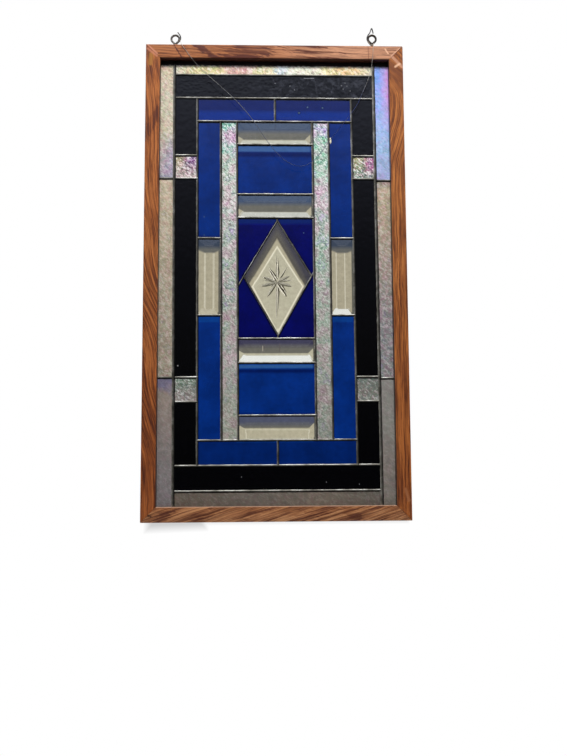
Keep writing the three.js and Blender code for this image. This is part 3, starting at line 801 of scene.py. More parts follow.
def seam_lines():
    """Both ends of every seam, as (x, z) where the panel would stand straight, and its thickness."""
    black_top = seam_height("pearl_border_top", "black_bar_top")
    blue_top = seam_height("black_bar_top", "blue_bar_top_left")
    centre_top = seam_height("blue_bar_top_left", "bevel_1")
    centre_bottom = seam_height("bevel_4", "blue_bar_bottom_left")
    blue_bottom = seam_height("blue_bar_bottom_left", "black_bar_bottom")
    black_bottom = seam_height("black_bar_bottom", "pearl_border_bottom")
    right = [
        high("bevel_2").x - lean(low("bevel_2").z) + SEAM_GAP,
        low("side_bevel_right").x - lean(high("side_bevel_right").z) - SEAM_GAP,
        high("side_bevel_right").x - lean(low("side_bevel_right").z) + SEAM_GAP,
        high("black_middle_right").x - lean(low("black_middle_right").z) + SEAM_GAP,
    ]
    x1, x2, x3, x4 = (x - MIDDLE_X for x in right)
    seams = []

    def level(z, left_end, right_end):
        seams.append(((MIDDLE_X + left_end, z), (MIDDLE_X + right_end, z), 1.0))

    def upright(x, bottom, top, thickness=1.0):
        seams.append(((MIDDLE_X + x, bottom), (MIDDLE_X + x, top), thickness))

    for z in (black_top, blue_top, blue_bottom, black_bottom):
        level(z, -x4, x4)
    level(centre_top, -x3, x3)
    level(centre_bottom, -x3, x3)
    cut = seam_side("blue_bar_top_left", "blue_bar_top_right")
    cut -= lean((centre_top + blue_top) / 2) + MIDDLE_X
    upright(cut, centre_top, blue_top)
    upright(cut, blue_bottom, centre_bottom)
    panel_top = high("pearl_border_top").z
    panel_bottom = low("pearl_border_bottom").z
    panel_half = high("pearl_border_right_middle").x - MIDDLE_X
    for side, name in ((-1, "left"), (1, "right")):
        upright(side * x4, panel_bottom, panel_top, 1.3)
        upright(side * x3, blue_bottom, blue_top)
        upright(side * x2, centre_bottom, centre_top)
        upright(side * x1, centre_bottom, centre_top)
        border = f"pearl_border_{name}_"
        for upper, lower in (("upper", "middle"), ("middle", "lower")):
            level(seam_height(border + upper, border + lower), side * x4, side * panel_half)
        stack = ["black_upper_", "pearl_square_upper_", "black_middle_", "pearl_square_lower_", "black_lower_"]
        for upper, lower in zip(stack, stack[1:]):
            level(seam_height(upper + name, lower + name), side * x3, side * x4)
        stack = ["blue_side_upper_", "side_bevel_", "blue_side_lower_"]
        for upper, lower in zip(stack, stack[1:]):
            level(seam_height(upper + name, lower + name), side * x2, side * x3)
    stack = ["bevel_1", "blue_field_top", "bevel_2", "indigo_upper_left"]
    for upper, lower in zip(stack, stack[1:]):
        level(seam_height(upper, lower), -x1, x1)
    stack = ["indigo_lower_left", "bevel_3", "blue_field_bottom", "bevel_4"]
    for upper, lower in zip(stack, stack[1:]):
        level(seam_height(upper, lower), -x1, x1)
    return seams, x1


def diamond_corners():
    """The diamond's top, left, bottom and right, half a seam outside the glass."""
    points = [v.co for v in nodes["star_diamond"].data.vertices]
    edge = [p for p in points if p.y > 0]
    corners = [
        max(edge, key=lambda p: p.z), min(edge, key=lambda p: p.x),
        min(edge, key=lambda p: p.z), max(edge, key=lambda p: p.x),
    ]
    centre = sum((Vector((p.x, p.z)) for p in corners), Vector((0, 0))) / 4
    outer = []
    for p in corners:
        place = Vector((p.x, p.z))
        outer.append(place + (place - centre).normalized() * SEAM_GAP)
    return outer


def bead_route(start, end, thickness=1.0, wobble=0.12):
    """Points along a seam every few millimetres, with a hand-made waver in line and thickness."""
    start, end = Vector(start), Vector(end)
    steps = max(2, round((end - start).length / (3.5 * MM)))
    across = Vector((start.y - end.y, end.x - start.x)).normalized()
    route = []
    for i in range(steps + 1):
        place = start.lerp(end, i / steps)
        seed = Vector((place.x * 90, place.y * 90, thickness))
        aside = across * noise.noise(seed) * wobble * MM * min(1, i, steps - i)
        size = thickness * (1 + 0.1 * noise.noise(seed * 1.7) + 0.06 * noise.noise(seed * 5))
        if i in (0, steps):
            size *= 1.12
        route.append(((place.x + aside.x, place.y + aside.y, 0), size))
    return route


def make_solder():
    seams, x1 = seam_lines()
    routes = []
    for (xa, za), (xb, zb), thickness in seams:
        routes.append(bead_route((xa + lean(za), za), (xb + lean(zb), zb), thickness))
    top, left, bottom, right = diamond_corners()

    def run_out(start, through, x):
        share = (x + lean(through.y) - start.x) / (through.x - start.x)
        return start.lerp(through, share)

    left_end = run_out(top, left, MIDDLE_X - x1)
    right_end = run_out(bottom, right, MIDDLE_X + x1)
    field_top = seam_height("bevel_2", "indigo_upper_left")
    field_bottom = seam_height("indigo_lower_left", "bevel_3")
    for start, end in (
        (left_end, top), (right_end, bottom), (top, right), (bottom, left),
        (top, Vector((top.x, field_top))), (bottom, Vector((bottom.x, field_bottom))),
    ):
        routes.append(bead_route(start, end, 0.72, 0.35))
    profile = bead_profile()
    net = swept("solder_net", routes, None, profile)
    bpy.data.objects.remove(profile)
    net.data.transform(Matrix.Rotation(math.radians(90), 4, "X"))
    put_right(net)
    return finished(net, solder_material(), "solder", "solder_seams", smooth=50)


make_solder()


# Stray beads on the panes: place in millimetres on the frame, half width, half height.
STRAY_BEADS = [
    ("putty_blob", 93.4, -161.2, 1.8, 5.4),
    ("solder_speck", -90.3, -442.5, 1.1, 1.3),
]
BEAD_THICKNESS = 1.0


def make_stray_beads():
    material, tree, shader = new_material("cream putty", Roughness=0.4)
    crumbs = speckle(tree, place_of(tree), 700, 3)["Fac"]
    plug(tree, ramp(tree, crumbs, [(0.35, rgb(206, 196, 156)), (0.6, rgb(246, 242, 220))]), shader, "Base Color")
    for name, x, z, half_width, half_height in STRAY_BEADS:
        bpy.ops.object.select_all(action="DESELECT")
        place = (MIDDLE_X + x * MM, GLASS_FRONT, FRAME_TOP + z * MM)
        bpy.ops.mesh.primitive_uv_sphere_add(segments=20, ring_count=12, radius=MM, location=place)
        bead = bpy.context.object
        bead.name = name
        bead.scale = (half_width, BEAD_THICKNESS, half_height)
        bpy.ops.object.transform_apply(location=True, rotation=True, scale=True)
        finished(bead, material, "solder", smooth=60)


make_stray_beads()


# Plain glass

def ripple_group():
    """Slow waves and small seeds in rolled glass."""
    tree, given, result = new_group("rolled glass", [
        ("Vector", VECTOR, None), ("Waves", FLOAT, 30.0), ("Seeds", FLOAT, 1.0),
    ], [("Height", FLOAT), ("Seed Mask", FLOAT)])
    slow = speckle(tree, given["Vector"], given["Waves"], 2, 0.4)["Fac"]
    cells = add(tree, "ShaderNodeTexVoronoi", {"Vector": given["Vector"], "Scale": 38.0})
    seeds = spread(tree, cells.outputs["Distance"], 0.06, 0.02)
    few = spread(tree, add(tree, "ShaderNodeSeparateColor", {"Color": cells.outputs["Color"]}).outputs[0], 0.86, 0.88)
    seeds = calc(tree, "MULTIPLY", calc(tree, "MULTIPLY", seeds, few), given["Seeds"])
    tree.links.new(calc(tree, "ADD", slow, calc(tree, "MULTIPLY", seeds, 0.5)), result["Height"])
    tree.links.new(seeds, result["Seed Mask"])
    return tree


ROLLED_GLASS = ripple_group()


def dress(node, material):
    for slot in nodes[node].material_slots:
        slot.material = material


def black_material(name, waves, strength, specks=()):
    """specks are pinholes and fine scratches in a bar that is cloudy towards the right."""
    material, tree, shader = new_material(name, Roughness=0.1, IOR=1.52)
    rolled = use_group(tree, ROLLED_GLASS, {"Vector": place_of(tree), "Waves": waves, "Seeds": 1.0})
    colour = blend(tree, rolled["Seed Mask"], rgb(3, 3, 5), rgb(150, 150, 150))
    if specks:
        swirl = speckle(tree, place_of(tree), 60, 5, 0.6, 1.2)["Fac"]
        axes = axes_of(tree)
        share = calc(tree, "MULTIPLY", spread(tree, swirl, 0.48, 0.72), spread(tree, axes["X"], -0.07, 0.03))
        share = calc(tree, "MULTIPLY", share, spread(tree, axes["Z"], -0.3, -0.2))
        colour = blend(tree, share, colour, rgb(54, 56, 64))
        colour = blend(tree, spots(tree, specks, 0.8 * MM), colour, rgb(150, 152, 156))
    plug(tree, colour, shader, "Base Color")
    plug(tree, bump(tree, rolled["Height"], 0.5 * MM, strength), shader, "Normal")
    return material


def blue_material(name, colour, waves, bands=(), bubbles=()):
    """bands are level stretches of another blue, painted light and shade: top, bottom and softness in millimetres on
    the frame, and the blue.
    """
    material, tree, shader = new_material(name, Roughness=0.04, IOR=1.5)
    shader.inputs["Transmission Weight"].default_value = 1.0
    rolled = use_group(tree, ROLLED_GLASS, {"Vector": place_of(tree), "Waves": waves, "Seeds": 1.0})
    shade = speckle(tree, place_of(tree), 26, 3, 0.6)["Fac"]
    deep = blend(tree, spread(tree, shade, 0.35, 0.65), colour, tuple(c * 1.4 for c in colour))
    height = calc(tree, "DIVIDE", calc(tree, "SUBTRACT", axes_of(tree)["Z"], FRAME_TOP), MM)
    for top, bottom, soft, tone in bands:
        under = spread(tree, height, top + soft / 2, top - soft / 2)
        over = spread(tree, height, bottom - soft / 2, bottom + soft / 2)
        deep = blend(tree, calc(tree, "MULTIPLY", under, over), deep, tone)
    deep = blend(tree, spots(tree, PALE_SEEDS, 1.5 * MM), deep, (0.3, 0.45, 0.9))
    if bubbles:
        deep = blend(tree, spots(tree, bubbles, 3.2 * MM), deep, tuple(c * 0.5 for c in colour))
        deep = blend(tree, spots(tree, bubbles, 1.7 * MM), deep, (0.5, 0.7, 1.0))
    plug(tree, deep, shader, "Base Color")
    plug(tree, bump(tree, rolled["Height"], 0.4 * MM, 0.5), shader, "Normal")
    return material


def clear_material():
    material, tree, shader = new_material("clear bevelled glass", Roughness=0.01, IOR=1.5)
    shader.inputs["Transmission Weight"].default_value = 1.0
    haze = speckle(tree, place_of(tree), 45, 3)["Fac"]
    plug(tree, ramp(tree, haze, [(0.3, (0.93, 0.95, 0.93)), (0.7, (0.98, 0.99, 0.98))]), shader, "Base Color")
    return material


def cut_material(name, tone):
    material, tree, shader = new_material(name, Roughness=0.5, IOR=1.5)
    shader.inputs["Transmission Weight"].default_value = 0.1
    grain = speckle(tree, place_of(tree), 700, 3)["Fac"]
    plug(tree, ramp(tree, grain, [(0.3, tuple(c * 0.7 for c in tone)), (0.7, tone)]), shader, "Base Color")
    plug(tree, bump(tree, grain, 0.1 * MM, 0.5), shader, "Normal")
    return material


# Pinholes, a scratch and dust in the black bars, and bubbles in the right blue bar.
BLACK_SPECKS = [
    (0, -61), (50, -51.4), (52, -51.6), (54, -51.7), (56, -51.7), (58, -51.6), (60, -51.5), (62, -51.4),
    (64, -51.4), (66, -51.3), (116, -70), (122.8, -64.6), (128, -73.4), (119.5, -59.3), (113, -64),
    (25.5, -65.3), (33, -72), (80.6, -733.1), (134.2, -736.8), (-57, -724),
]
BLUE_BUBBLES = [(55.1, -102.2), (40.6, -112.2), (80.6, -103.1)]
PALE_SEEDS = [(-119.3, -293.2), (-119.0, -324.5), (47.0, -320.4)]


def make_plain_glass():
    rippled = black_material("rippled black glass", 210.0, 1.0, BLACK_SPECKS)
    even = black_material("even black glass", 120.0, 0.45)
    blue = (0.004, 0.085, 0.66)
    # Painted shade over the top of the upper bar and painted light at its foot; painted light bands under bevels 1, 3
    # and 2.
    painted_shadow_top = (-80, -110.9, 7, (0.008, 0.05, 0.5))
    painted_light_foot = (-110.9, -126, 7, (0.003, 0.105, 0.98))
    painted_light_band = (-171.3, -181.0, 2.5, (0.09, 0.26, 0.95))
    painted_light_low_band = (-542, -547.3, 2.5, (0.05, 0.2, 0.8))
    side = blue_material("blue glass", blue, 60.0)
    low_bar = blue_material("deep blue glass", (0.003, 0.055, 0.44), 60.0)
    field = blue_material("blue glass with painted light bands", blue, 60.0, [painted_light_band, painted_light_low_band])
    top_bar = blue_material("blue glass with bubbles", blue, 60.0, [painted_shadow_top, painted_light_foot], BLUE_BUBBLES)
    indigo_top = (high("indigo_upper_left").z - FRAME_TOP) / MM
    painted_light_head = (indigo_top + 4, indigo_top - 9, 4, (0.005, 0.032, 0.4))
    indigo = blue_material("indigo glass", (0.003, 0.007, 0.34), 60.0, [painted_light_head])
    clear = clear_material()
    wanted = [
        ("black_bar_", rippled), ("black_", even), ("blue_bar_top_", top_bar), ("blue_bar_bottom_", low_bar),
        ("blue_field_", field), ("blue_side_", side), ("indigo_", indigo), ("bevel_", clear),
        ("side_bevel_", clear),
    ]
    for node in nodes:
        for start, material in wanted:
            if node.startswith(start):
                dress(node, material)
                break
    return clear


clear_glass = make_plain_glass()


# Each ray of the star: its turn from straight down, its length and its width.
STAR_RAYS = [
    (0, 63 * MM, 2.6 * MM), (180, 48 * MM, 1.8 * MM), (-76, 28 * MM, 5.6 * MM), (76, 28 * MM, 5.6 * MM),
    (-33, 30 * MM, 5.4 * MM), (35, 31 * MM, 5.4 * MM), (-113, 27 * MM, 4.8 * MM), (117, 26 * MM, 4.8 * MM),
    (-150, 27 * MM, 3.6 * MM), (150, 27 * MM, 3.6 * MM), (-55, 13 * MM, 3.2 * MM), (55, 13 * MM, 3.2 * MM),
]
STAR_DROP = 9.8 * MM
STAR_ASIDE = -2.2 * MM
RAY_DEPTH = 0.34
RAY_OVERLAP = 2 * MM


def cut_ray(piece, centre, turn, length, width):
    """Grinds one ray of V section that runs out to a point at both ends, with a four-sided cutter."""
    angle = math.radians(turn)
    heading = Vector((math.sin(angle), 0, -math.cos(angle)))
    bpy.ops.object.select_all(action="DESELECT")
    bpy.ops.mesh.primitive_uv_sphere_add(segments=4, ring_count=10, radius=0.5)
    cutter = bpy.context.object
    only(cutter)
    across = Vector((0, 1, 0)).cross(heading)
    deep = Vector((0, width * RAY_DEPTH * 2, 0))
    shape = Matrix((across * width, deep, heading * length)).transposed().to_4x4()
    shape.translation = centre + heading * (length / 2 - RAY_OVERLAP)
    cutter.data.transform(shape)
    put_right(cutter)
    apply_modifier(piece, "BOOLEAN", object=cutter, operation="DIFFERENCE", solver="EXACT")
    bpy.data.objects.remove(cutter)


def make_diamond(clear):
    """The diamond with its ground star: painted light, pale, on one wall of each ray and painted shade, dull, on the
    other.
    """
    diamond = copy_of("star_diamond", "cut_star_diamond")
    table = low("star_diamond").y
    corners = diamond_corners()
    middle = sum(corners, Vector((0, 0))) / 4
    centre = Vector((middle.x + STAR_ASIDE, table, middle.y - STAR_DROP))
    for turn, length, width in STAR_RAYS:
        cut_ray(diamond, centre, turn, length, width)
    only(diamond)
    diamond.data.materials.clear()
    for material in (
        clear, cut_material("painted shaded side of the cut star", rgb(84, 80, 62)),
        cut_material("painted lit side of the cut star", rgb(246, 241, 222)),
    ):
        diamond.data.materials.append(material)
    light_turn = 1.2
    for face in diamond.data.polygons:
        normal = face.normal
        sloped = abs(normal.y) < 0.985 and normal.y < -0.5
        off_edge = face.center.y > table + 0.02 * MM
        in_star = abs(face.center.x - centre.x) + abs(face.center.z - centre.z) * 0.5 < 30 * MM
        if sloped and off_edge and in_star:
            # Lit and shaded copies of the cut glass, chosen by which way each face turns.
            face.material_index = 1 if normal.z > light_turn * normal.x else 2
        else:
            face.material_index = 0
    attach(diamond, "root")
    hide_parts("star_diamond")
    return diamond


make_diamond(clear_glass)


# Pearly glass

def pearl_group():
    """Silvery hatching over a tint, with cool and warm gleams: painted glints and shade in the hatching, and a painted
    iridescent sheen in the gleams. Vector is in grains of the texture.
    """
    tree, given, result = new_group("pearl shimmer", [
        ("Vector", VECTOR, None), ("Place", VECTOR, None), ("Tint", COLOUR, None),
        ("Contrast", FLOAT, 0.5), ("Gleam", FLOAT, 0.5), ("Gleam Size", FLOAT, 0.006),
    ], [("Color", COLOUR), ("Height", FLOAT)])
    hatch = speckle(tree, given["Vector"], 1.0, 3, 0.65, 0.6)["Fac"]
    drift = add(tree, "ShaderNodeVectorMath", {0: given["Place"], 1: (0.37, 0.11, 0.23)}, operation="ADD")
    scale = calc(tree, "DIVIDE", 1.0, given["Gleam Size"])
    hue = speckle(tree, drift.outputs[0], scale, 3, 0.7)["Fac"]
    gleam = ramp(tree, hue, [
        (0.32, rgb(232, 128, 206)), (0.42, rgb(236, 196, 210)), (0.49, rgb(226, 226, 216)),
        (0.56, rgb(128, 226, 172)), (0.66, rgb(184, 164, 250)),
    ])
    colour = blend(tree, given["Gleam"], given["Tint"], gleam, "SOFT_LIGHT")
    colour = blend(tree, calc(tree, "MULTIPLY", given["Gleam"], 0.45), colour, gleam)
    # Painted glints where the hatching is bright and painted shade where it is dark.
    bright = calc(tree, "MULTIPLY", spread(tree, hatch, 0.51, 0.62), given["Contrast"])
    dark = calc(tree, "MULTIPLY", spread(tree, hatch, 0.49, 0.37), given["Contrast"])
    colour = blend(tree, bright, colour, blend(tree, 0.85, colour, grey(1.0)))
    colour = blend(tree, dark, colour, blend(tree, 0.85, colour, grey(0.04)))
    tree.links.new(colour, result["Color"])
    tree.links.new(hatch, result["Height"])
    return tree


PEARL_SHIMMER = pearl_group()
HATCH_ANGLE = math.radians(42)


def pearl_material(name, upright, start, end, stops, grain, contrast, gleam, gleam_size, flank=None):
    """stops are tints along the pane, from its start to its end, in metres on Z or X. contrast is
    given at both ends. flank is another tint on the right edge and the two heights it runs between."""
    material, tree, shader = new_material(name, Roughness=0.3, IOR=1.6)
    shader.inputs["Coat Weight"].default_value = 0.6
    shader.inputs["Coat Roughness"].default_value = 0.12
    axes = axes_of(tree)
    along = axes["Z"] if upright else axes["X"]
    place = place_of(tree)
    drift = speckle(tree, place, 60, 3, 0.6)["Fac"]
    along = spread(tree, along, start, end)
    strength = spread(tree, along, 0.0, 1.0, contrast[0], contrast[1])
    along = calc(tree, "ADD", along, spread(tree, drift, 0.3, 0.7, -0.03, 0.03))
    tint = ramp(tree, along, stops)
    if flank:
        tone, left, right, below, above = flank
        share = spread(tree, calc(tree, "ADD", axes["X"], spread(tree, drift, 0.3, 0.7, -2 * MM, 2 * MM)), left, right)
        share = calc(tree, "MULTIPLY", share, spread(tree, axes["Z"], below, above))
        tint = blend(tree, share, tint, tone)
    mottle = speckle(tree, place, 85, 3, 0.6)["Fac"]
    shade = ramp(tree, mottle, [(0.36, grey(0.76)), (0.64, grey(1.06))])
    tint = blend(tree, 0.85, tint, shade, "MULTIPLY")
    grains = add(tree, "ShaderNodeMapping", {
        "Vector": place, "Rotation": (0, HATCH_ANGLE, 0), "Scale": (grain * 2.3, grain, grain),
    }, vector_type="TEXTURE")
    shimmer = use_group(tree, PEARL_SHIMMER, {
        "Vector": grains.outputs["Vector"], "Place": place, "Tint": tint, "Contrast": strength,
        "Gleam": calc(tree, "MULTIPLY", gleam, strength), "Gleam Size": gleam_size,
    })
    # Painted shadow of the top rail's lip over the pane.
    plug(tree, painted_lip_shadow(tree, shimmer["Color"]), shader, "Base Color")
    plug(tree, bump(tree, shimmer["Height"], 0.5 * MM, 0.5 * max(contrast)), shader, "Normal")
    return material


def relief_texture(name, kind, size, **values):
    texture = bpy.data.textures.new(name, kind)
    texture.noise_scale = size
    for key, value in values.items():
        setattr(texture, key, value)
    return texture


GRANITE = relief_texture("granite relief", "VORONOI", 3.2 * MM)
RIPPLE = relief_texture("ripple relief", "CLOUDS", 7 * MM, noise_depth=1)


def make_pearl(node, texture, voxel, depth, material):
    """The pane with a rolled relief pressed into its front."""
    pane = copy_of(node, "relief_" + node)
    apply_modifier(pane, "REMESH", mode="VOXEL", voxel_size=voxel)
    group = pane.vertex_groups.new(name="front")
    front = [v.index for v in pane.data.vertices if v.co.y < GLASS_FRONT + 0.3 * MM]
    group.add(front, 1.0, "REPLACE")
    apply_modifier(
        pane, "DISPLACE", texture=texture, direction="Y", mid_level=0.0,
        strength=depth, vertex_group="front",
    )
    pane.vertex_groups.clear()
    return finished(pane, material, "pearl_glass", node, smooth=60)


PALE = rgb(224, 214, 194)
GOLD = rgb(232, 216, 150)
ROSE = rgb(226, 172, 158)
CREAM = rgb(218, 206, 176)
TEAL = rgb(136, 196, 186)
PINK = rgb(204, 172, 206)


# How strong the hatching is at the bottom and the top of a pane, where it isn't that of the strips.
SPARKLE = {
    "pearl_square_upper_left": (0.85, 0.95), "pearl_square_upper_right": (1.0, 1.0),
    "pearl_square_lower_left": (0.4, 0.65), "pearl_square_lower_right": (0.45, 0.35),
}


# How strong the cool and warm gleams are on the panes that don't have the usual 0.5.
GLEAM = {
    "pearl_square_upper_left": 0.25, "pearl_square_upper_right": 0.4, "pearl_square_lower_left": 0.25,
    "pearl_square_lower_right": 0.35, "pearl_border_right_upper": 0.8, "pearl_border_top": 0.4,
}


def make_pearls():
    """Every pearly pane: its tints from one end to the other, and how coarse its relief is."""
    coarse = [
        ("pearl_strip_left", [
            (0.0, rgb(160, 154, 144)), (0.12, rgb(158, 156, 146)), (0.24, rgb(178, 162, 166)),
            (0.34, rgb(164, 162, 154)), (0.45, rgb(178, 166, 168)), (0.56, rgb(176, 178, 170)),
            (0.66, rgb(190, 176, 184)), (0.76, rgb(200, 190, 192)), (0.87, rgb(200, 200, 194)),
            (0.905, TEAL), (0.94, PINK), (0.965, PINK), (0.985, TEAL), (1.0, TEAL),
        ]),
        ("pearl_strip_right", [
            (0.0, rgb(146, 142, 136)), (0.2, rgb(157, 153, 147)), (0.36, rgb(163, 163, 157)),
            (0.46, rgb(160, 166, 156)), (0.6, rgb(168, 180, 170)), (0.7, rgb(190, 176, 184)),
            (0.78, rgb(206, 178, 200)), (0.83, rgb(170, 198, 186)), (0.94, rgb(136, 196, 172)),
            (0.965, rgb(198, 168, 210)), (1.0, rgb(196, 186, 224)),
        ]),
        ("pearl_square_upper_left", [
            (0.0, rgb(198, 176, 178)), (0.5, rgb(200, 172, 158)), (1.0, rgb(192, 168, 118)),
        ]),
        ("pearl_square_upper_right", [
            (0.0, rgb(120, 134, 130)), (0.5, rgb(150, 146, 104)), (1.0, rgb(168, 140, 62)),
        ]),
        ("pearl_square_lower_left", [
            (0.0, rgb(146, 132, 130)), (0.5, rgb(134, 134, 126)), (1.0, rgb(88, 116, 92)),
        ]),
        ("pearl_square_lower_right", [
            (0.0, rgb(130, 128, 120)), (0.5, rgb(122, 120, 114)), (1.0, rgb(100, 110, 103)),
        ]),
    ]
    for node, stops in coarse:
        square = "square" in node
        left, bottom = low(node).x, low(node).z
        wide, tall = high(node).x - left, high(node).z - bottom
        flank = None
        if node == "pearl_square_upper_left":
            flank = (rgb(132, 50, 150), left + wide * 0.25, left + wide * 0.65, bottom + tall * 0.1, bottom + tall * 0.8)
        if node == "pearl_square_upper_right":
            flank = (rgb(176, 60, 150), left + wide * 0.4, left + wide * 0.75, bottom, bottom + tall * 0.5)
        material = pearl_material(
            "pearl " + node.replace("_", " "), True, low(node).z, high(node).z, stops,
            2.2 * MM if square else 1.8 * MM, SPARKLE.get(node, (0.28, 0.95)),
            GLEAM.get(node, 0.5), (6 if square else 22) * MM, flank,
        )
        make_pearl(node, GRANITE, 1.0 * MM, 0.7 * MM, material)
    fine = [
        ("pearl_border_left_upper", [
            (0.0, rgb(166, 154, 170)), (0.15, rgb(182, 166, 160)), (0.35, rgb(206, 188, 158)),
            (0.7, rgb(212, 198, 174)), (0.9, rgb(208, 187, 156)), (1.0, rgb(200, 176, 142)),
        ], 0.4),
        ("pearl_border_left_middle", [
            (0.0, rgb(160, 144, 126)), (0.3, rgb(174, 158, 138)), (0.6, rgb(186, 168, 144)),
            (1.0, rgb(202, 182, 154)),
        ], 0.3),
        ("pearl_border_left_lower", [
            (0.0, rgb(126, 118, 122)), (0.3, rgb(133, 125, 126)), (0.6, rgb(144, 131, 127)),
            (0.88, rgb(154, 139, 129)), (0.95, rgb(120, 112, 140)), (1.0, rgb(112, 106, 136)),
        ], 0.09),
        ("pearl_border_right_upper", [
            (0.0, rgb(168, 172, 230)), (0.25, rgb(160, 192, 240)), (0.5, rgb(158, 186, 255)),
            (0.75, rgb(132, 168, 255)), (0.9, rgb(124, 160, 255)), (1.0, rgb(122, 150, 240)),
        ], 0.22),
        ("pearl_border_right_middle", [
            (0.0, rgb(134, 128, 132)), (0.25, rgb(136, 126, 134)), (0.5, rgb(162, 142, 136)),
            (0.8, rgb(184, 162, 138)), (0.94, rgb(192, 170, 140)), (1.0, rgb(156, 130, 118)),
        ], 0.35),
        ("pearl_border_right_lower", [
            (0.0, rgb(128, 121, 113)), (0.35, rgb(139, 128, 123)), (0.6, rgb(145, 141, 135)),
            (1.0, rgb(147, 143, 139)),
        ], 0.09),
        ("pearl_border_top", [
            (0.0, PALE), (0.1, GOLD), (0.22, GOLD), (0.26, ROSE), (0.37, ROSE), (0.42, GOLD),
            (0.49, rgb(242, 230, 184)), (0.515, rgb(226, 236, 248)), (0.545, rgb(228, 236, 244)),
            (0.57, rgb(246, 240, 222)), (0.7, rgb(244, 236, 212)), (0.76, rgb(246, 230, 166)),
            (0.87, rgb(250, 208, 132)), (1.0, rgb(238, 228, 200)),
        ], 0.65),
        ("pearl_border_bottom", [
            (0.0, rgb(106, 94, 82)), (0.4, rgb(112, 102, 94)), (0.7, rgb(120, 108, 96)), (1.0, rgb(104, 96, 88)),
        ], 0.08),
    ]
    for node, stops, contrast in fine:
        upright = not node.endswith(("top", "bottom"))
        start, end = (low(node).z, high(node).z) if upright else (low(node).x, high(node).x)
        left, right = low(node).x, high(node).x
        height = high(node).z - low(node).z
        flank = None
        if node == "pearl_border_right_upper":
            flank = (
                rgb(234, 150, 228), left + (right - left) * 0.3, right,
                high(node).z - height * 0.62, high(node).z - height * 0.3,
            )
        if node == "pearl_border_left_upper":
            flank = (rgb(170, 152, 188), left, right, low(node).z + height * 0.4, low(node).z + height * 0.2)
        material = pearl_material(
            "pearl " + node.replace("_", " "), upright, start, end, stops,
            (3.2 if contrast > 0.5 else 2.4) * MM, (contrast, contrast), GLEAM.get(node, 0.5), 9 * MM, flank,
        )
        make_pearl(node, RIPPLE, 1.3 * MM, (0.5 if contrast > 0.3 else 0.25) * MM, material)


make_pearls()


# Wall, floor and light

WALL = FRAME_BACK + 1.5 * MM
GLASS_TO_WALL = WALL - GLASS_FRONT - 1.0 * MM
CAMERA_X, CAMERA_Y, CAMERA_Z = CAMERA_PLACE


def on_wall(x, z):
    """Where a line of sight through a point of the panel, in millimetres on the frame, meets the wall."""
    px = MIDDLE_X + x * MM
    pz = FRAME_TOP + z * MM
    reach = (GLASS_FRONT + GLASS_TO_WALL - CAMERA_Y) / (GLASS_FRONT - CAMERA_Y)
    return CAMERA_X + (px - CAMERA_X) * reach, CAMERA_Z + (pz - CAMERA_Z) * reach


def seen_mask(tree, x, z, corners, soft):
    """A soft-edged convex patch of the wall, by the corners where it shows through the panel."""
    spots = [Vector(on_wall(*corner)) for corner in corners]
    middle = sum(spots, Vector((0, 0))) / len(spots)
    inside = None
    for a, b in zip(spots, spots[1:] + spots[:1]):
        along = (b - a).normalized()
        out = Vector((along.y, -along.x))
        if out.dot(middle - a) > 0:
            out = -out
        reach = calc(tree, "ADD", calc(tree, "MULTIPLY", x, out.x), calc(tree, "MULTIPLY", z, out.y))
        edge = calc(tree, "SUBTRACT", out.dot(a), reach)
        inside = edge if inside is None else calc(tree, "MINIMUM", inside, edge)
    return calc(tree, "ADD", calc(tree, "DIVIDE", inside, soft * MM), 0.5, clamp=True)


def seen_pane(node):
    """A pane's left, right, bottom and top in millimetres on the frame."""
    box_low, box_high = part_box(node)
    return (
        (box_low.x - MIDDLE_X) / MM, (box_high.x - MIDDLE_X) / MM,
        (box_low.z - FRAME_TOP) / MM, (box_high.z - FRAME_TOP) / MM,
    )


FACET = 10.5
DUSK = rgb(68, 84, 112)
BROWN = rgb(112, 110, 102)
CREAM_LIGHT = rgb(186, 178, 154)
BEHIND_BLUE = rgb(130, 130, 130)

# Under the top edge of each clear pane: where the dusk ends, where the brown shade ends, where the
# bright lower slope starts, and the colours of the dusk, the middle and the slope.
CENTRE_LIGHT = {
    "bevel_1": (17, 29.5, 30.5, DUSK, CREAM_LIGHT, rgb(206, 205, 190)),
    "bevel_2": (16, 28, 28.5, DUSK, CREAM_LIGHT, rgb(206, 206, 198)),
    "bevel_3": (12, 23.5, 26, rgb(62, 60, 84), rgb(192, 186, 162), rgb(240, 241, 236)),
    "bevel_4": (14, 19.5, 34, rgb(80, 84, 106), CREAM_LIGHT, rgb(190, 184, 162)),
}


def centre_light(tree, x, z, colour):
    for node, (dusk, brown, slope, dusk_colour, middle, slope_colour) in CENTRE_LIGHT.items():
        left, right, bottom, top = seen_pane(node)
        edge = right - 4.5
        under = bottom - (4 if node == "bevel_4" else 13)

        def patch(corners, soft, tone):
            nonlocal colour
            colour = blend(tree, seen_mask(tree, x, z, corners, soft), colour, tone)

        patch([(left - 3, under), (edge, under), (edge, top), (left - 3, top)], 1.2, middle)
        patch([(left - 4, top - brown), (right + 3, top - brown), (right + 3, top + 4), (left - 4, top + 4)], 1.5, BROWN)
        patch([(left - 4, top - dusk), (right + 3, top - dusk), (right + 3, top + 4), (left - 4, top + 4)], 9, dusk_colour)
        mitre = top - brown + 7
        patch([(left - 2, mitre), (left + FACET, top - brown), (left + FACET, bottom - 3), (left - 2, bottom - 3)], 1, middle)
        patch([(edge, mitre + 1), (edge - FACET * 0.8, top - brown), (edge - FACET * 0.8, bottom - 3), (edge, bottom - 3)], 1, middle)
        patch([
            (left + FACET * 0.9, top - slope), (right - FACET, top - slope),
            (right - 1, bottom - 2), (left - 1, bottom - 2),
        ], 1, slope_colour)
        patch([(right - 4, bottom - 2), (right + 3, bottom - 2), (right + 3, top), (right - 4, top)], 1, rgb(84, 82, 72))
    return colour


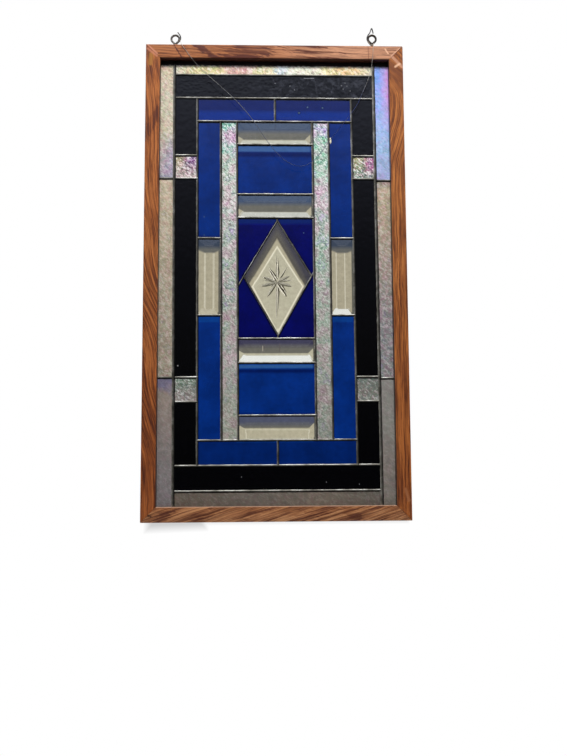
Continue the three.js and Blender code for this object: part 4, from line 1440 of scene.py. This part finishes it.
def side_light(tree, x, z, colour):
    """The tall side bevels: dusk above, then cream with two bright upright lines."""
    for node, slope_colour, shift in (
        ("side_bevel_left", rgb(196, 188, 166), 0), ("side_bevel_right", rgb(236, 236, 230), -2.6),
    ):
        left, right, bottom, top = seen_pane(node)
        third = (right - left) / 3

        def patch(corners, soft, tone):
            nonlocal colour
            colour = blend(tree, seen_mask(tree, x, z, corners, soft), colour, tone)

        patch([(left - 2, bottom - 12), (right - 3, bottom - 12), (right - 3, top), (left - 2, top)], 1.2, rgb(178, 169, 146))
        for line in (left + third + shift, right - third + shift):
            patch([(line - 0.8, bottom + 10), (line + 0.8, bottom + 10), (line + 0.8, top - 24), (line - 0.8, top - 24)], 1, rgb(214, 207, 186))
        patch([(right - 5.5, bottom - 2), (right + 3, bottom - 2), (right + 3, top), (right - 5.5, top)], 1, rgb(98, 96, 88))
        patch([
            (left - 4, top - 17), (left + third, top - 24), (right - third, top - 24), (right + 4, top - 17),
            (right + 4, top + 4), (left - 4, top + 4),
        ], 3, rgb(104, 104, 100))
        patch([(left - 4, top - 15), (right + 4, top - 15), (right + 4, top + 4), (left - 4, top + 4)], 7, rgb(60, 70, 88))
        patch([(left - 1, bottom - 2), (left + 8, bottom + 11), (right - 11, bottom + 11), (right - 2, bottom - 2)], 1, slope_colour)
    return colour


def diamond_light(tree, x, z, colour):
    """Painted light and shade behind the diamond: grey shade behind its upper slopes, then a bright outline of light
    round a beige middle.
    """
    outline = [(2.9, -296), (63, -394), (2.9, -500), (-57, -394)]
    bands = [
        (outline, 2, rgb(67, 65, 74)),
        ([(2.6, -316), (52, -407), (2.6, -494), (-49, -404)], 8, rgb(95, 91, 84)),
        ([(2.2, -331), (47, -410), (2.6, -493), (-43.5, -407)], 2.5, rgb(186, 177, 152)),
        ([(2.4, -342.5), (45, -411), (2.4, -489.5), (-39, -411)], 1.2, rgb(236, 229, 206)),
        ([(2.4, -347.5), (42.3, -411), (2.4, -484), (-36.2, -411)], 1.2, rgb(193, 187, 164)),
    ]
    for corners, soft, tone in bands:
        colour = blend(tree, seen_mask(tree, x, z, corners, soft), colour, tone)
    return colour


# Fine lines of light and shade seen through the bevels: both ends in millimetres on the frame,
# the line's width and its colour.
FINE_LINES = [
    (-0.2, -132, -0.3, -144, 0.9, rgb(56, 64, 84)),
    (6, -508, 6, -521, 0.9, rgb(94, 84, 82)), (-19.5, -510, -19.5, -517, 0.9, rgb(96, 88, 84)),
    (-22.1, -512, -22.1, -519.5, 1.2, rgb(168, 160, 146)),
    (-49.3, -647.5, -49.3, -664, 1.3, rgb(216, 210, 188)), (52.5, -648, 52.5, -664, 1.3, rgb(216, 210, 188)),
    (-49.3, -648, 52.5, -648.4, 1.3, rgb(206, 200, 176)),
]


def fine_line(x1, z1, x2, z2, width):
    start, end = Vector((x1, z1)), Vector((x2, z2))
    aside = Vector((z1 - z2, x2 - x1)).normalized() * width / 2
    return [tuple(start + aside), tuple(end + aside), tuple(end - aside), tuple(start - aside)]


# The shade under bevels 1 and 3: how far below the pane it starts and ends.
FIELD_SHADES = [("bevel_1", 14, 22), ("bevel_3", 10.5, 17)]


def window_light(tree, x, z):
    """Painted light and shadow for what the daylight through the panel leaves on the wall: bright patches below each
    clear pane.
    """
    colour = centre_light(tree, x, z, (*BEHIND_BLUE, 1))
    colour = side_light(tree, x, z, colour)
    for node, first, last in FIELD_SHADES:
        left, right, bottom, top = seen_pane(node)
        upper, lower = bottom - first, bottom - last
        shade = [(left - 4, lower), (right + 4, lower), (right + 4, upper), (left - 4, upper)]
        colour = blend(tree, seen_mask(tree, x, z, shade, 4), colour, rgb(84, 82, 96))
    for *ends, width, tone in FINE_LINES:
        colour = blend(tree, seen_mask(tree, x, z, fine_line(*ends, width), 0.8), colour, tone)
    return diamond_light(tree, x, z, colour)


def wall_material():
    """A bright white wall that glows by emission, with the window's own light and shadow painted on it where only the
    panel shows it.
    """
    material = bpy.data.materials.new("pale wall")
    material.use_nodes = True
    tree = material.node_tree
    tree.nodes.clear()
    x, y, z = (axes_of(tree)[i] for i in range(3))
    reach = (FRAME_RIGHT - FRAME_LEFT) / 2 / MM - RAIL / MM + 6
    top = (FRAME_TOP - high("pearl_border_top").z) / MM - 4
    bottom = (FRAME_TOP - low("pearl_border_bottom").z) / MM - 4
    behind = seen_mask(tree, x, z, [(-reach, -bottom), (reach, -bottom), (reach, -top), (-reach, -top)], 1)
    plaster = speckle(tree, place_of(tree), 160, 5, 0.65)["Fac"]
    lit = window_light(tree, x, z)
    foot = (FRAME_BOTTOM - FRAME_TOP) / MM
    # Painted shadow on the wall under the frame: a soft patch under the left end and a line along the foot.
    shade = seen_mask(tree, x, z, [(-208, foot - 13), (-116, foot - 10), (-116, foot + 6), (-208, foot + 6)], 14)
    line = seen_mask(tree, x, z, [(-210, foot - 4), (212, foot - 4), (212, foot + 4), (-210, foot + 4)], 7)
    lit = blend(tree, 0.3, lit, ramp(tree, plaster, [(0.3, grey(0.3)), (0.7, grey(0.7))]), "OVERLAY")
    painted_frame_shadow = calc(tree, "MAXIMUM", shade, calc(tree, "MULTIPLY", line, 0.6))
    outside = blend(tree, painted_frame_shadow, grey(1.0), grey(0.62))
    seen = blend(tree, behind, outside, lit)
    front = add(tree, "ShaderNodeEmission", {"Color": seen, "Strength": 1.0})
    unseen = add(tree, "ShaderNodeBsdfTransparent")
    turned = add(tree, "ShaderNodeNewGeometry").outputs["Backfacing"]
    whole = add(tree, "ShaderNodeMixShader", {0: turned, 1: front.outputs[0], 2: unseen.outputs[0]})
    output = add(tree, "ShaderNodeOutputMaterial")
    tree.links.new(whole.outputs[0], output.inputs["Surface"])
    return material


def make_stage():
    bpy.ops.mesh.primitive_plane_add(size=6, rotation=(math.radians(90), 0, 0), location=(0, WALL, 0.6))
    wall = bpy.context.object
    wall.name = "wall"
    bpy.ops.object.transform_apply(location=True, rotation=True, scale=True)
    wall.data.materials.append(wall_material())
    wall.visible_shadow = False
    wall.visible_diffuse = False
    wall.visible_glossy = False
    bpy.ops.mesh.primitive_plane_add(size=8, location=(0, 0, -1.35))
    floor = bpy.context.object
    floor.name = "floor"
    material, tree, shader = new_material("pale floor", Roughness=0.7)
    marks = speckle(tree, place_of(tree), 5, 3)["Fac"]
    plug(tree, ramp(tree, marks, [(0.3, grey(0.74)), (0.7, grey(0.8))]), shader, "Base Color")
    floor.data.materials.append(material)
    floor.visible_glossy = False


make_stage()


def make_light():
    """A soft lamp high in front, and a room that gleams bright above and dim ahead."""
    lamp = bpy.data.lights.new("soft lamp", "AREA")
    lamp.shape = "SQUARE"
    lamp.size = 0.4
    lamp.energy = 56
    lamp.color = (1.0, 0.985, 0.96)
    lamp_object = bpy.data.objects.new("soft lamp", lamp)
    bpy.context.collection.objects.link(lamp_object)
    lamp_object.location = (0.12, -1.45, 1.4)
    aim = Vector((MIDDLE_X, 0, MIDDLE_Z + 0.1)) - lamp_object.location
    lamp_object.rotation_euler = aim.to_track_quat("-Z", "Y").to_euler()
    lamp_object.visible_glossy = False
    lamp_object.visible_transmission = False
    back = bpy.data.lights.new("dim lamp behind", "AREA")
    back.size = 2.0
    back.energy = 40
    back_object = bpy.data.objects.new("dim lamp behind", back)
    bpy.context.collection.objects.link(back_object)
    back_object.location = (-0.8, 2.2, 0.6)
    aim = Vector((MIDDLE_X, 0, MIDDLE_Z)) - back_object.location
    back_object.rotation_euler = aim.to_track_quat("-Z", "Y").to_euler()
    back_object.visible_glossy = False
    back_object.visible_transmission = False
    world = bpy.data.worlds.new("bright room")
    bpy.context.scene.world = world
    world.use_nodes = True
    tree = world.node_tree
    tree.nodes.clear()
    heading = add(tree, "ShaderNodeTexCoord").outputs["Generated"]
    height = add(tree, "ShaderNodeSeparateXYZ", {"Vector": heading}).outputs["Z"]
    room = ramp(tree, spread(tree, height, -1, 1), [
        (0.0, grey(0.02)), (0.47, grey(0.01)), (0.56, grey(0.04)), (0.64, (0.075, 0.08, 0.10)),
        (0.70, (0.19, 0.20, 0.26)), (0.757, (0.48, 0.52, 0.68)), (0.86, (0.75, 0.82, 0.95)), (1.0, grey(1.0)),
    ])
    rays = add(tree, "ShaderNodeLightPath").outputs
    overhead = spread(tree, height, 0.72, 0.95, 1.0, 4.5)
    strength = blend(tree, rays["Is Diffuse Ray"], room, grey(0.09))
    colour = blend(tree, rays["Is Camera Ray"], strength, grey(1.0))
    boost = calc(tree, "MULTIPLY", rays["Is Glossy Ray"], calc(tree, "SUBTRACT", overhead, 1.0))
    surface = add(tree, "ShaderNodeBackground", {
        "Color": colour, "Strength": calc(tree, "ADD", boost, 1.0),
    })
    output = add(tree, "ShaderNodeOutputWorld")
    tree.links.new(surface.outputs[0], output.inputs["Surface"])
    bpy.context.scene.view_settings.view_transform = "Standard"


make_light()
